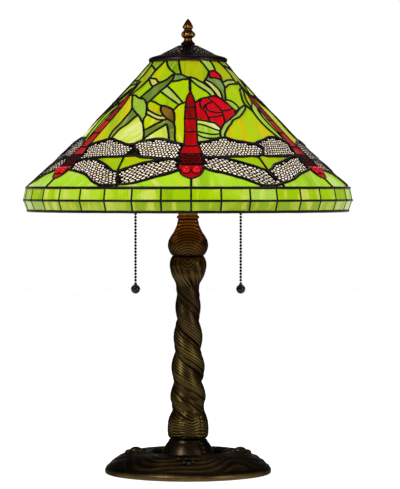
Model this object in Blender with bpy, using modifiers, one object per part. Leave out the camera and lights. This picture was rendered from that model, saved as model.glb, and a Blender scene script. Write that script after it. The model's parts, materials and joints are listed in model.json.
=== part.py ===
"""Stained glass table lamp: cast bronze base and rope-twist column, a two-light pull-chain cluster,
and a conical leaded shade with six dragonflies, a tiled border, a pierced cap and a screw-on finial.

Frame: metres, +Z up, origin at the centre of the foot, -Y is the front of the lamp.
Lengths in this file are millimetres and angles are degrees; the helpers turn them into metres and radians.
Each named object is one separate physical piece.
"""

from math import cos, hypot, pi, radians, sin

import bmesh
import bpy
from mathutils import Matrix, Vector

MM = 0.001
GAP = 0.3  # clearance between pieces that touch
WELD = 0.00001  # metres

# ---- driving dimensions --------------------------------------------------------------------------
FOOT_RADIUS = 102.9
RISER_TOP_Z = 42.2
COLUMN_TOP_Z = 268.4
VASE_TOP_Z = 314.3
CLUSTER_Z = 366.0  # height of the two socket axes
PIPE_RADIUS = 5.0  # hollow threaded pipe through the column
PIPE_BORE = 5.4
ROD_RADIUS = 3.1  # threaded rod from the cluster to the finial
ROD_BORE = 3.5

# Shade: a leaded cone, slightly hollow in profile, over a border of two rows of tiles.
SHADE_TURN = 1.3  # the shade is clamped a little off square
FIELD_TOP = (46.4, 507.0)  # radius and height of the glass's outer face
FIELD_BOTTOM = (199.8, 352.5)
FIELD_SAG = 4.6
GIRTH = (202.8, 337.5)  # the fold between the two rows of tiles
RIM = (198.2, 324.6)
GLASS = 3.0  # glass thickness
LEAD = 1.0  # width of the lead between two panes
CAME_RADIUS = 1.3  # round lead along the folds of the border
CAME_SEAT = CAME_RADIUS + 1.2  # distance from a fold to the glass beside it
TILES = 36
SECTORS = 6
SECTOR = 360.0 / SECTORS

# Twin cluster: sockets lie along X, one each way.
CHAIN_X = 65.0
ARM_RADIUS = 5.0
SHELL_START, SHELL_END = 46.3, 98.0
SHELL_RADIUS = 18.5
SWITCH_DEPTH = 25.0
BULB_TIP = 166.0
CHAIN_TOP_Z = 330.2
BEAD_PITCH, BEAD_RADIUS, LINK_RADIUS = 3.9, 1.4, 0.45
BEADS = 24
BALL_Z, BALL_RADIUS = 227.6, 5.9

# ---- colours --------------------------------------------------------------------------------------
FINISHES = {  # name: (colour, roughness, metallic)
    "bronze": ((0.055, 0.040, 0.022), 0.42, 0.85),
    "brass": ((0.42, 0.27, 0.10), 0.35, 1.0),
    "steel": ((0.45, 0.45, 0.44), 0.45, 1.0),
    "felt": ((0.03, 0.06, 0.04), 0.95, 0.0),
    "phenolic": ((0.02, 0.02, 0.02), 0.5, 0.0),
    "lead": ((0.035, 0.025, 0.022), 0.45, 0.8),
    "green_glass": ((0.42, 0.60, 0.05), 0.25, 0.0),
    "red_glass": ((0.55, 0.01, 0.01), 0.2, 0.0),
    "filigree": ((0.05, 0.035, 0.03), 0.45, 0.8),
    "bulb_glass": ((0.90, 0.88, 0.82), 0.3, 0.0),
}


# ---- helpers --------------------------------------------------------------------------------------
def clear_scene():
    for obj in list(bpy.data.objects):
        bpy.data.objects.remove(obj)


def new_collection(name):
    collection = bpy.data.collections.new(name)
    bpy.context.scene.collection.children.link(collection)
    return collection


def finish_material(name):
    material = bpy.data.materials.get(name)
    if material is None:
        colour, roughness, metallic = FINISHES[name]
        material = bpy.data.materials.new(name)
        material.use_nodes = True
        shader = material.node_tree.nodes["Principled BSDF"]
        shader.inputs["Base Color"].default_value = (*colour, 1.0)
        shader.inputs["Roughness"].default_value = roughness
        shader.inputs["Metallic"].default_value = metallic
    return material


def add_object(name, mesh, finish, collection=None):
    obj = bpy.data.objects.new(name, mesh)
    (collection or LAMP).objects.link(obj)
    if finish:
        mesh.materials.append(finish_material(finish))
    return obj


def add_cutter(name, mesh):
    obj = add_object(name, mesh, None, CUTTERS)
    obj.hide_render = True
    obj.display_type = "WIRE"
    return obj


def profile_mesh(name, points, closed):
    mesh = bpy.data.meshes.new(name)
    count = len(points)
    edges = [(i, i + 1) for i in range(count - 1)]
    if closed:
        edges.append((count - 1, 0))
    mesh.from_pydata([(r * MM, 0.0, z * MM) for r, z in points], edges, [])
    return mesh


def turned(name, points, finish, steps=32, closed=True):
    """A piece turned about Z from (radius, height) points that run down its outer side.

    A closed outline is a ring with a bore; an open one starts and ends on the axis."""
    obj = add_object(name, profile_mesh(name, points, closed), finish)
    screw = obj.modifiers.new("Turn", "SCREW")
    screw.angle = 2 * pi
    screw.steps = steps
    screw.render_steps = steps
    screw.use_merge_vertices = True
    screw.merge_threshold = WELD
    screw.use_smooth_shade = True
    return obj


def lay_along_x(obj, side):
    """Lays a piece turned about Z along X at the cluster's height; side is +1 for right and -1 for left."""
    obj.rotation_euler = (0.0, side * pi / 2, 0.0)
    obj.location = (0.0, 0.0, CLUSTER_Z * MM)
    return obj


def cylinder_mesh(name, radius, low, high, segments, centre=(0.0, 0.0), turn=0.0):
    """A closed cylinder about a vertical axis from height low to high."""
    mesh = bpy.data.meshes.new(name)
    form = bmesh.new()
    place = Matrix.Translation((centre[0] * MM, centre[1] * MM, (low + high) / 2 * MM))
    bmesh.ops.create_cone(
        form,
        cap_ends=True,
        segments=segments,
        radius1=radius * MM,
        radius2=radius * MM,
        depth=(high - low) * MM,
        matrix=place @ Matrix.Rotation(radians(turn), 4, "Z"),
    )
    form.to_mesh(mesh)
    form.free()
    return mesh


def boolean(obj, cutter, operation="DIFFERENCE"):
    modifier = obj.modifiers.new(operation.title(), "BOOLEAN")
    modifier.operation = operation
    modifier.object = cutter
    return modifier


def hex_nut(name, across_flats, bore, low, high, finish):
    nut = add_object(name, cylinder_mesh(name, across_flats / 2 / cos(pi / 6), low, high, 6), finish)
    hole = add_cutter(name + "_hole", cylinder_mesh(name + "_hole", bore, low - 2, high + 2, 16))
    boolean(nut, hole)
    return nut


def smooth_between(points, count):
    """count points, evenly spaced in parameter, on a Catmull-Rom curve through the given points."""
    ends = [2 * Vector(points[0]) - Vector(points[1]), 2 * Vector(points[-1]) - Vector(points[-2])]
    knots = [ends[0], *map(Vector, points), ends[1]]
    spans = len(points) - 1
    made = []
    for i in range(count):
        at = min(i / (count - 1) * spans, spans - 1e-9)
        k, t = int(at), at - int(at)
        a, b, c, d = knots[k : k + 4]
        made.append(
            0.5 * (2 * b + (c - a) * t + (2 * a - 5 * b + 4 * c - d) * t**2 + (3 * (b - c) + d - a) * t**3)
        )
    return made


# ---- base -----------------------------------------------------------------------------------------
def make_base():
    outside = [
        (PIPE_BORE, RISER_TOP_Z), (23.2, RISER_TOP_Z), (29.6, 31.5), (33.8, 22.0), (38.5, 15.5),
        (44.5, 23.5), (49.4, 27.2), (67.9, 25.2), (81.5, 21.9), (93.9, 15.1), (101.9, 7.8),
        (FOOT_RADIUS, 4.3), (102.5, 0.8),
    ]  # fmt: skip
    underside = [
        (98.5, 0.8), (96.5, 7.5), (76.0, 20.0), (52.0, 22.3), (38.5, 11.2), (33.0, 14.0),
        (19.0, 38.0), (PIPE_BORE, 38.0),
    ]  # fmt: skip
    casting = turned("base_casting", outside + underside, "bronze", steps=24)

    for quarter in range(4):
        bud = bpy.data.meshes.new("bud")
        form = bmesh.new()
        stretch = Matrix.Diagonal((12.0 * MM, 8.0 * MM, 7.0 * MM, 1.0))
        place = Matrix.Rotation(quarter * pi / 2, 4, "Z") @ Matrix.Translation((64.0 * MM, 0.0, 26.0 * MM))
        bmesh.ops.create_uvsphere(form, u_segments=8, v_segments=5, radius=1.0, matrix=place @ stretch)
        form.to_mesh(bud)
        form.free()
        boolean(casting, add_cutter(f"bud_{quarter + 1}", bud), "UNION")

    cord_hole = cylinder_mesh("cord_hole", 4.5, 90.0, 108.0, 12)
    hole = add_cutter("cord_hole", cord_hole)
    hole.rotation_euler = (-pi / 2, 0.0, 0.0)
    hole.location = (0.0, 0.0, 8.5 * MM)
    boolean(casting, hole)

    bushing = turned(
        "cord_bushing",
        [(2.6, 105.0), (5.6, 105.0), (6.2, 104.2), (6.2, 103.2), (4.2, 103.2), (4.2, 92.0), (2.6, 92.0)],
        "phenolic",
        steps=12,
    )
    bushing.rotation_euler = (-pi / 2, 0.0, 0.0)
    bushing.location = (0.0, 0.0, 8.5 * MM)

    turned(
        "base_weight",
        [(PIPE_BORE, 10.7), (88.0, 10.7), (90.0, 8.7), (90.0, 3.3), (16.0, 3.3), (16.0, 7.5), (PIPE_BORE, 7.5)],
        "steel",
        steps=24,
    )
    turned("felt_pad", [(17.0, 3.0), (96.8, 3.0), (96.8, 0.0), (17.0, 0.0)], "felt", steps=24)
    turned("base_washer", [(PIPE_BORE, 7.2), (14.0, 7.2), (14.0, 5.7), (PIPE_BORE, 5.7)], "steel", steps=16)
    hex_nut("base_lock_nut", 17.0, PIPE_BORE, 0.9, 5.4, "brass")


# ---- column ---------------------------------------------------------------------------------------
ROPE_PITCH = 75.8  # one full turn of the two strands
ROPE_WAIST_Z = 75.8  # a height where both grooves lie at the sides
# (largest radius, height) up the column: its bound foot, the tapering rope, and the bulb under the vase
COLUMN_OUTLINE = [
    (20.4, 42.2), (23.2, 44.0), (24.9, 47.5), (25.4, 54.0), (25.0, 62.0), (23.8, 68.0), (21.8, 72.5),
    (19.6, 77.0), (19.6, 81.0), (20.6, 86.0), (21.9, 95.0), (20.4, 135.0), (17.8, 170.0), (15.5, 208.0),
    (14.6, 218.0), (13.9, 225.0), (13.7, 230.5), (14.7, 235.0), (17.2, 239.2), (19.6, 244.0), (21.4, 249.5),
    (22.6, 254.5), (22.8, 258.0), (22.2, 262.0), (20.9, 266.0), (19.4, COLUMN_TOP_Z),
]  # fmt: skip


def ease(x, low, high):
    t = max(0.0, min(1.0, (x - low) / (high - low)))
    return t * t * (3 - 2 * t)


def column_section(z):
    """(radius of each strand, distance of its centre from the axis) at height z."""
    for (low_radius, low), (high_radius, high) in zip(COLUMN_OUTLINE, COLUMN_OUTLINE[1:]):
        if z <= high:
            break
    widest = low_radius + (high_radius - low_radius) * (z - low) / (high - low)
    offset = (5.0 - (z - 95.0) * 0.013) * ease(z, 76.0, 92.0) * (1 - ease(z, 212.0, 230.0))
    return widest - offset, offset


def rope_radius(angle, z):
    """Radius of two overlapping round strands, wound downwards to the right of the front."""
    strand, offset = column_section(z)
    twist = angle + 2 * pi * (z - ROPE_WAIST_Z) / ROPE_PITCH + pi / 2
    along = abs(cos(twist)) * offset
    across = sin(twist) * offset
    return along + (strand**2 - across**2) ** 0.5


def make_column():
    low, high = RISER_TOP_Z + GAP, COLUMN_TOP_Z
    rings, sides = 42, 18
    mesh = bpy.data.meshes.new("column_casting")
    form = bmesh.new()
    loops = []
    for i in range(rings + 1):
        z = low + (high - low) * i / rings
        angles = [2 * pi * k / sides for k in range(sides)]
        loops.append(
            [
                form.verts.new((rope_radius(a, z) * cos(a) * MM, rope_radius(a, z) * sin(a) * MM, z * MM))
                for a in angles
            ]
        )
    for below, above in zip(loops, loops[1:]):
        for k in range(sides):
            n = (k + 1) % sides
            form.faces.new((below[k], below[n], above[n], above[k]))
    form.faces.new(loops[0][::-1])
    form.faces.new(loops[-1])
    form.to_mesh(mesh)
    form.free()
    column = add_object("column_casting", mesh, "bronze")
    bore = add_cutter("column_bore", cylinder_mesh("column_bore", PIPE_BORE, low - 5, high + 5, 20))
    boolean(column, bore)

    foot = COLUMN_TOP_Z + GAP
    vase = [
        (PIPE_BORE, VASE_TOP_Z), (12.1, VASE_TOP_Z), (13.4, 308.0), (15.4, 302.3), (19.6, 295.2),
        (23.8, 288.0), (24.9, 281.5), (23.9, 276.3), (19.2, foot), (PIPE_BORE, foot),
    ]  # fmt: skip
    turned("vase_casting", vase, "bronze", steps=22)
    collar_foot = VASE_TOP_Z + GAP
    collar = [
        (PIPE_BORE, 338.0), (12.1, 338.0), (12.1, 319.2), (13.8, 317.8), (13.8, 315.8),
        (12.3, collar_foot), (PIPE_BORE, collar_foot),
    ]  # fmt: skip
    turned("neck_collar", collar, "brass", steps=14)
    turned("threaded_pipe", [(3.6, 352.0), (PIPE_RADIUS, 352.0), (PIPE_RADIUS, 0.6), (3.6, 0.6)], "steel", steps=12)


# ---- cluster --------------------------------------------------------------------------------------
def make_cluster():
    body = [
        (ROD_BORE, 386.0), (8.0, 386.0), (13.0, 381.0), (15.0, 373.0), (15.0, 359.0), (13.0, 352.0),
        (10.5, 346.0), (12.1, 342.0), (12.1, 338.3), (PIPE_BORE, 338.3), (PIPE_BORE, 353.0),
        (9.5, 356.0), (9.5, 374.0), (ROD_BORE, 376.0),
    ]  # fmt: skip
    cluster = turned("cluster_body", body, "brass", steps=14)
    hole = add_cutter("arm_holes", cylinder_mesh("arm_holes", ARM_RADIUS + GAP, -30.0, 30.0, 12))
    hole.rotation_euler = (0.0, pi / 2, 0.0)
    hole.location = (0.0, 0.0, CLUSTER_Z * MM)
    boolean(cluster, hole)
    for side, word in ((-1, "left"), (1, "right")):
        make_light(side, word)
        make_pull(side, word)


def make_light(side, word):
    """One arm of the cluster. Its outlines give the distance from the lamp's axis as height."""
    start, end = SHELL_START, SHELL_END
    bore = ARM_RADIUS + GAP
    lay_along_x(
        turned(f"arm_nipple_{word}", [(3.6, 38.0), (ARM_RADIUS, 38.0), (ARM_RADIUS, 11.0), (3.6, 11.0)], "brass", 12),
        side,
    )
    cap = [
        (17.2, start - GAP), (SHELL_RADIUS, start - GAP), (SHELL_RADIUS, 43.0), (14.0, 36.0), (9.0, 33.0),
        (bore, 33.0), (bore, 35.0), (12.6, 38.4), (17.2, 44.0),
    ]  # fmt: skip
    lay_along_x(turned(f"socket_cap_{word}", cap, "brass", 14), side)

    shell = turned(
        f"socket_shell_{word}",
        [(17.2, end), (SHELL_RADIUS, end), (SHELL_RADIUS, start), (17.2, start)],
        "brass",
        18,
    )
    lay_along_x(shell, side)
    floor = start + SWITCH_DEPTH
    core_profile = [
        (0.0, floor), (14.2, floor), (14.2, end - 1), (16.8, end - 1), (16.8, start + 0.5), (0.0, start + 0.5),
    ]  # fmt: skip
    core = turned(f"socket_core_{word}", core_profile, "phenolic", 18, closed=False)
    lay_along_x(core, side)
    shell_bottom = CLUSTER_Z - SHELL_RADIUS
    for piece, radius, top in ((shell, 3.6, CLUSTER_Z - 10), (core, 2.9, CLUSTER_Z - 6)):
        name = f"{piece.name}_chain_hole"
        mesh = cylinder_mesh(name, radius, shell_bottom - 8, top, 12, centre=(side * CHAIN_X, 0.0))
        boolean(piece, add_cutter(name, mesh))

    bell = turned(
        f"chain_bell_{word}",
        [(2.6, 349.0), (3.3, 349.0), (3.3, 341.0), (5.0, 334.5), (4.2, 334.5), (2.6, 341.0)],
        "brass",
        12,
    )
    bell.location = (side * CHAIN_X * MM, 0.0, 0.0)

    cap_end = end - 1.5
    cap_outline = [(0.0, cap_end), (12.6, cap_end), (13.2, cap_end - 2), (13.2, floor + 5), (4.0, floor + 1)]
    lay_along_x(turned(f"bulb_cap_{word}", [*cap_outline, (0.0, floor + 1)], "steel", 16, closed=False), side)
    middle, widest = BULB_TIP - 22.5, 22.5
    tip = [(widest * sin(a), middle + widest * cos(a)) for a in [radians(15.0 * k) for k in range(8)]]
    neck = [(15.5, middle - 24), (13.0, cap_end + 6), (12.6, cap_end + GAP), (0.0, cap_end + GAP)]
    lay_along_x(turned(f"bulb_glass_{word}", tip + neck, "bulb_glass", 12, closed=False), side)


def make_pull(side, word):
    """The switch's link, which slides, and the bead chain and ball, which swing from the link's foot."""
    link_foot = CHAIN_TOP_Z + GAP
    link = [(0.0, 356.5), (1.2, 356.5), (1.2, 340.0), (2.0, 339.0), (2.0, link_foot), (0.0, link_foot)]
    turned(f"pull_link_{word}", link, "brass", 10, closed=False).location = (side * CHAIN_X * MM, 0.0, 0.0)

    pivot = CHAIN_TOP_Z + GAP / 2
    chain = [(0.0, -GAP / 2)]
    for bead in range(BEADS):
        middle = -GAP / 2 - BEAD_RADIUS - bead * BEAD_PITCH
        chain.append((BEAD_RADIUS, middle))
        if bead < BEADS - 1:
            chain.append((LINK_RADIUS, middle - BEAD_PITCH / 2))
    chain_foot = chain[-1][1] - BEAD_RADIUS
    chain.append((0.0, chain_foot))
    neck = chain_foot - GAP
    middle = BALL_Z - pivot
    ball = [(0.0, neck), (1.9, neck), (2.1, middle + 5.6)]
    ball += [(BALL_RADIUS * sin(a), middle + BALL_RADIUS * cos(a)) for a in [radians(30 + 24 * k) for k in range(6)]]
    ball.append((0.0, middle - BALL_RADIUS))
    for piece in (
        turned(f"pull_chain_{word}", chain, "brass", 5, closed=False),
        turned(f"chain_ball_{word}", ball, "bronze", 12, closed=False),
    ):
        piece.location = (side * CHAIN_X * MM, 0.0, pivot * MM)


# ---- shade hardware -------------------------------------------------------------------------------
def make_shade_hardware():
    turned("riser_rod", [(0.0, 543.0), (ROD_RADIUS, 543.0), (ROD_RADIUS, 377.0), (0.0, 377.0)], "steel", 12, False)
    hex_nut("seat_nut", 14.0, ROD_BORE, 497.0, 501.7, "brass")

    spider_low, spider_high = 502.0, 504.5
    spider = turned(
        "shade_spider",
        [(ROD_BORE, spider_high), (10.0, spider_high), (10.0, spider_low), (ROD_BORE, spider_low)],
        "brass",
        16,
    )
    band = profile_mesh("spider_band", [(39.5, 505.0), (41.6, 505.0), (41.6, 500.0), (39.5, 500.0)], True)
    band_object = add_cutter("spider_band", band)
    screw = band_object.modifiers.new("Turn", "SCREW")
    screw.angle = 2 * pi
    screw.steps = screw.render_steps = 24
    screw.use_merge_vertices = True
    screw.merge_threshold = WELD
    for quarter in range(4):
        arm = bpy.data.meshes.new("spider_arm")
        form = bmesh.new()
        place = Matrix.Rotation(radians(45 + 90 * quarter), 4, "Z") @ Matrix.Translation((25 * MM, 0, 503.2 * MM))
        bmesh.ops.create_cube(form, size=1.0, matrix=place @ Matrix.Diagonal((33 * MM, 6 * MM, 2.0 * MM, 1.0)))
        form.to_mesh(arm)
        form.free()
        boolean(spider, add_cutter(f"spider_arm_{quarter + 1}", arm), "UNION")
    boolean(spider, band_object, "UNION")

    turned("shade_top_ring", [(42.0, 508.3), (43.6, 508.3), (43.6, 499.0), (42.0, 499.0)], "brass", 24)

    cap_outline = [
        (ROD_BORE, 529.0), (8.0, 529.0), (13.0, 527.0), (38.5, 514.0), (43.5, 512.8), (47.0, 511.0),
        (48.1, 508.0), (46.6, 507.6), (45.6, 509.0), (38.0, 511.4), (12.5, 524.4), (ROD_BORE, 525.6),
    ]  # fmt: skip
    cap = turned("shade_cap", cap_outline, "bronze", 24)
    for k in range(12):
        angle = radians(30 * k + 15)
        centre = (24.5 * sin(angle), 24.5 * cos(angle))
        name = f"vent_{k + 1}"
        boolean(cap, add_cutter(name, cylinder_mesh(name, 3.2, 505.0, 535.0, 6, centre=centre)))

    finial_foot = 529.0 + GAP
    finial = [
        (0.0, 561.0), (3.6, 557.0), (6.4, 551.2), (4.9, 547.3), (8.0, 544.0), (8.6, 541.2),
        (4.9, 535.8), (6.6, 531.9), (8.8, finial_foot), (ROD_BORE, finial_foot), (ROD_BORE, 544.5), (0.0, 544.5),
    ]  # fmt: skip
    turned("finial", finial, "brass", 16, closed=False)


# ---- leaded glass ---------------------------------------------------------------------------------
def field_profile(s):
    """(radius, height) of the glass's outer face, from s = 0 at the top to 1 at the border."""
    radius = FIELD_TOP[0] + (FIELD_BOTTOM[0] - FIELD_TOP[0]) * s - 4 * FIELD_SAG * s * (1 - s)
    return radius, FIELD_TOP[1] + (FIELD_BOTTOM[1] - FIELD_TOP[1]) * s


def shade_point(angle, s, proud=0.0, shift=0.0):
    """A point on the field, in metres. angle is to the right of the front in degrees, proud is its distance
    outside the glass, and shift moves it round the shade, in millimetres."""
    radius, height = field_profile(s)
    ahead, behind = field_profile(s + 0.01), field_profile(s - 0.01)
    run, drop = ahead[0] - behind[0], behind[1] - ahead[1]
    slope = hypot(run, drop)
    turn = radians(angle + SHADE_TURN - 90.0) + shift / radius
    radius += proud * drop / slope
    height += proud * run / slope
    return Vector((radius * cos(turn), radius * sin(turn), height)) * MM


# Outline of a dragonfly's body: (distance down the field, half width), from the tail to the head.
BODY = [
    (0.270, 1.5), (0.330, 4.2), (0.570, 6.4), (0.685, 8.3), (0.705, 11.5), (0.860, 13.0),
    (0.895, 9.5), (0.925, 2.2),
]  # fmt: skip

# Leading and trailing edges of each wing, from root to tip, as (degrees from the body, distance down the field).
WINGS = {
    "upper_right": (
        [(5.0, 0.662), (9.0, 0.645), (14.0, 0.618), (19.0, 0.618), (26.0, 0.648), (34.0, 0.684)],
        [(5.0, 0.772), (13.0, 0.769), (20.0, 0.767), (27.0, 0.763), (34.0, 0.738)],
    ),
    "upper_left": (
        [(-5.0, 0.662), (-9.0, 0.645), (-14.0, 0.618), (-19.0, 0.632), (-24.5, 0.672)],
        [(-5.0, 0.772), (-12.0, 0.770), (-19.0, 0.764), (-24.5, 0.738)],
    ),
    "lower_right": (
        [(5.0, 0.772), (12.0, 0.786), (20.0, 0.806), (27.0, 0.852), (33.5, 0.935)],
        [(5.0, 0.850), (9.0, 0.880), (16.0, 0.915), (24.0, 0.962), (31.5, 0.985)],
    ),
    "lower_left": (
        [(-5.0, 0.772), (-10.0, 0.788), (-16.0, 0.802), (-22.0, 0.840), (-26.0, 0.905)],
        [(-5.0, 0.850), (-9.0, 0.880), (-14.0, 0.908), (-19.0, 0.938), (-24.0, 0.970)],
    ),
}
WING_STATIONS = 6
FILIGREE = 0.6  # thickness of the wings' etched sheet


def body_half_width(s):
    if not BODY[0][0] <= s <= BODY[-1][0]:
        return 0.0
    for (s0, w0), (s1, w1) in zip(BODY, BODY[1:]):
        if s <= s1:
            return w0 + (w1 - w0) * (s - s0) / (s1 - s0)


def grid_mesh(name, rows):
    """An open sheet through rows of points, seen from outside with each row running to the right."""
    mesh = bpy.data.meshes.new(name)
    form = bmesh.new()
    made = [[form.verts.new(p) for p in row] for row in rows]
    for upper, lower in zip(made, made[1:]):
        for k in range(len(upper) - 1):
            form.faces.new((upper[k], lower[k], lower[k + 1], upper[k + 1]))
    form.to_mesh(mesh)
    form.free()
    return mesh


def thicken(obj, thickness, offset):
    solid = obj.modifiers.new("Thickness", "SOLIDIFY")
    solid.thickness = thickness * MM
    solid.offset = offset
    solid.use_even_offset = True
    return obj


def make_field_panels():
    """The background glass between one dragonfly and the next."""
    top, bottom = 0.004, 1.0 - CAME_SEAT / 217.0
    stations = [top, 0.262, *[s for s, _ in BODY], 0.933, bottom]
    columns = 5
    for sector in range(SECTORS):
        rows = []
        for s in stations:
            inset = body_half_width(s) + LEAD
            left, right = sector * SECTOR, (sector + 1) * SECTOR
            rows.append(
                [
                    shade_point(left + (right - left) * k / columns, s, 0.0, inset * (1 - 2 * k / columns))
                    for k in range(columns + 1)
                ]
            )
        name = f"glass_panel_{sector + 1}"
        thicken(add_object(name, grid_mesh(name, rows), "green_glass"), GLASS, -1.0)


def make_dragonflies():
    for sector in range(SECTORS):
        middle = sector * SECTOR
        rows = [[shade_point(middle, s, 0.0, side * width) for side in (-1, 0, 1)] for s, width in BODY]
        name = f"dragonfly_body_{sector + 1}"
        thicken(add_object(name, grid_mesh(name, rows), "red_glass"), GLASS, -1.0)
        make_wings(sector, middle)


def make_wings(sector, middle):
    """Four wings of one etched sheet, joined across the thorax."""
    mesh = bpy.data.meshes.new(f"wing_filigree_{sector + 1}")
    form = bmesh.new()
    roots = {}
    for wing, (leading, trailing) in WINGS.items():
        edges = [smooth_between(edge, WING_STATIONS) for edge in (leading, trailing)]
        points = [
            [shade_point(middle + p.x, p.y, GAP + FILIGREE) for p in edge]
            for edge in edges
        ]
        upper, lower = [[form.verts.new(p) for p in edge] for edge in points]
        to_right = wing.endswith("right")
        for k in range(WING_STATIONS - 1):
            corners = (upper[k], lower[k], lower[k + 1], upper[k + 1])
            form.faces.new(corners if to_right else corners[::-1])
        roots[wing] = (upper[0], lower[0])
    for row in ("upper", "lower"):
        left, right = roots[row + "_left"], roots[row + "_right"]
        crown = [
            form.verts.new(shade_point(middle, p, GAP + FILIGREE))
            for p in ((0.662, 0.772) if row == "upper" else (0.772, 0.850))
        ]
        form.faces.new((left[0], left[1], crown[1], crown[0]))
        form.faces.new((crown[0], crown[1], right[1], right[0]))
    bmesh.ops.remove_doubles(form, verts=form.verts, dist=0.00005)
    form.to_mesh(mesh)
    form.free()
    thicken(add_object(mesh.name, mesh, "filigree"), FILIGREE, -1.0)


def make_border():
    """Two rows of flat tiles and the round leads along their folds."""

    def row(name, upper, lower):
        run, drop = lower[0] - upper[0], upper[1] - lower[1]
        length = hypot(run, drop)
        along, inward = (run / length, -drop / length), (-drop / length, -run / length)
        start = (upper[0] + along[0] * CAME_SEAT, upper[1] + along[1] * CAME_SEAT)
        stop = (lower[0] - along[0] * CAME_SEAT, lower[1] - along[1] * CAME_SEAT)
        back = [(p[0] + inward[0] * GLASS, p[1] + inward[1] * GLASS) for p in (stop, start)]
        tiles = turned(name, [start, stop, *back], "green_glass", TILES)
        tiles.rotation_euler = (0.0, 0.0, radians(SHADE_TURN))

    row("border_tiles_upper", FIELD_BOTTOM, GIRTH)
    row("border_tiles_lower", GIRTH, RIM)
    for name, (radius, height) in (
        ("field_came", FIELD_BOTTOM),
        ("girth_came", GIRTH),
        ("rim_came", RIM),
    ):
        middle = (radius - 0.9, height)
        ring = [
            (middle[0] + CAME_RADIUS * sin(a), middle[1] + CAME_RADIUS * cos(a))
            for a in [radians(90 * k) for k in range(4)]
        ]
        came = turned(name, ring, "lead", TILES)
        came.rotation_euler = (0.0, 0.0, radians(SHADE_TURN))


# ---- lamp -----------------------------------------------------------------------------------------
clear_scene()
LAMP = new_collection("stained_glass_table_lamp")
CUTTERS = new_collection("cutters")
make_base()
make_column()
make_cluster()
make_shade_hardware()
make_field_panels()
make_dragonflies()
make_border()
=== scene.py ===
"""Looks of the stained glass table lamp, built round its CAD frame.

Lengths in this file are millimetres and angles are degrees unless a name says otherwise; MM turns them into
metres. The shade's pattern repeats three times round the lamp. It is drawn as (degrees, percent): degrees to
the right of the front dragonfly, and percent of the way down the field from the cap to the border.
"""

import json
import random
from functools import lru_cache
from math import atan2, cos, exp, hypot, pi, radians, sin, sqrt

import bmesh
import bpy
from mathutils import Matrix, Vector, noise
from mathutils.geometry import delaunay_2d_cdt

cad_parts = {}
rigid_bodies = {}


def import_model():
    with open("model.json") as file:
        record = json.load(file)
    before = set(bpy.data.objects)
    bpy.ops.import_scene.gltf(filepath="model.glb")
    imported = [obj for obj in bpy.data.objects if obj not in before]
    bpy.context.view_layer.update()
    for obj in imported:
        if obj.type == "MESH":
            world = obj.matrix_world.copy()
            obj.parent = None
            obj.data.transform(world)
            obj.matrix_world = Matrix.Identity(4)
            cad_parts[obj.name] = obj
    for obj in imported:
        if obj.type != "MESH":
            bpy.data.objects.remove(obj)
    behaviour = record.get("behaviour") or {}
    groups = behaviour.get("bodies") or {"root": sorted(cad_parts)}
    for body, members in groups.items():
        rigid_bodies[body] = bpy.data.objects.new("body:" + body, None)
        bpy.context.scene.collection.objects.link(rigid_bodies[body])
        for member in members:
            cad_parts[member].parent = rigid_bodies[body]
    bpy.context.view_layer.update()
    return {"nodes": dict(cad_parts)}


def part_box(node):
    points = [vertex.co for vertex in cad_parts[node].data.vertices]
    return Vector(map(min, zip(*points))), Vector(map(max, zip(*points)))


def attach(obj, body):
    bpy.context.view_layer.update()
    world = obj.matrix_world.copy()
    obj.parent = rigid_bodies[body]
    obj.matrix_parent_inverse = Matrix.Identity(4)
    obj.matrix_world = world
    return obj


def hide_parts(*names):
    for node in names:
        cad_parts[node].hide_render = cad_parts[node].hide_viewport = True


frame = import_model()

MM = 0.001
UP = Vector((0.0, 0.0, 1.0))
SECTORS = range(1, 7)


def ring_of(node):
    """(outer radius, middle height) of a CAD node that goes round the lamp's axis, in millimetres."""
    low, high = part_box(node)
    return (high.x - low.x) / 2 / MM, (high.z + low.z) / 2 / MM


def top_of(node):
    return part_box(node)[1].z / MM


def foot_of(node):
    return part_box(node)[0].z / MM


# ---- camera, light and floor ------------------------------------------------------------------------
CAMERA_AT = Vector((0.0148, -3.0875, 0.3524))  # metres, as in the whole of this section
CAMERA_AIM = Vector((0.0148, 0.0, 0.2826))
LENS_MM, SENSOR_MM = 184.0, 36.0
FLOOR_RADIUS = 6.0
ROOM_LIGHT = 0.2
BACKDROP = (1.02, 1.02, 1.02)
FLOOR_GLOW = 0.95  # the lamp stands on a lit white table


def place_camera():
    data = bpy.data.cameras.new("camera")
    data.lens, data.sensor_width = LENS_MM, SENSOR_MM
    camera = bpy.data.objects.new("camera", data)
    camera.location = CAMERA_AT
    camera.rotation_euler = (CAMERA_AIM - CAMERA_AT).to_track_quat("-Z", "Y").to_euler()
    bpy.context.scene.collection.objects.link(camera)
    bpy.context.scene.camera = camera


def area_light(name, at, aim, size, power, colour=(1.0, 1.0, 1.0)):
    data = bpy.data.lights.new(name, "AREA")
    data.shape, data.size = "DISK", size
    data.energy, data.color = power, colour
    light = bpy.data.objects.new(name, data)
    light.location = at
    light.rotation_euler = (Vector(aim) - Vector(at)).to_track_quat("-Z", "Y").to_euler()
    bpy.context.scene.collection.objects.link(light)


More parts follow.
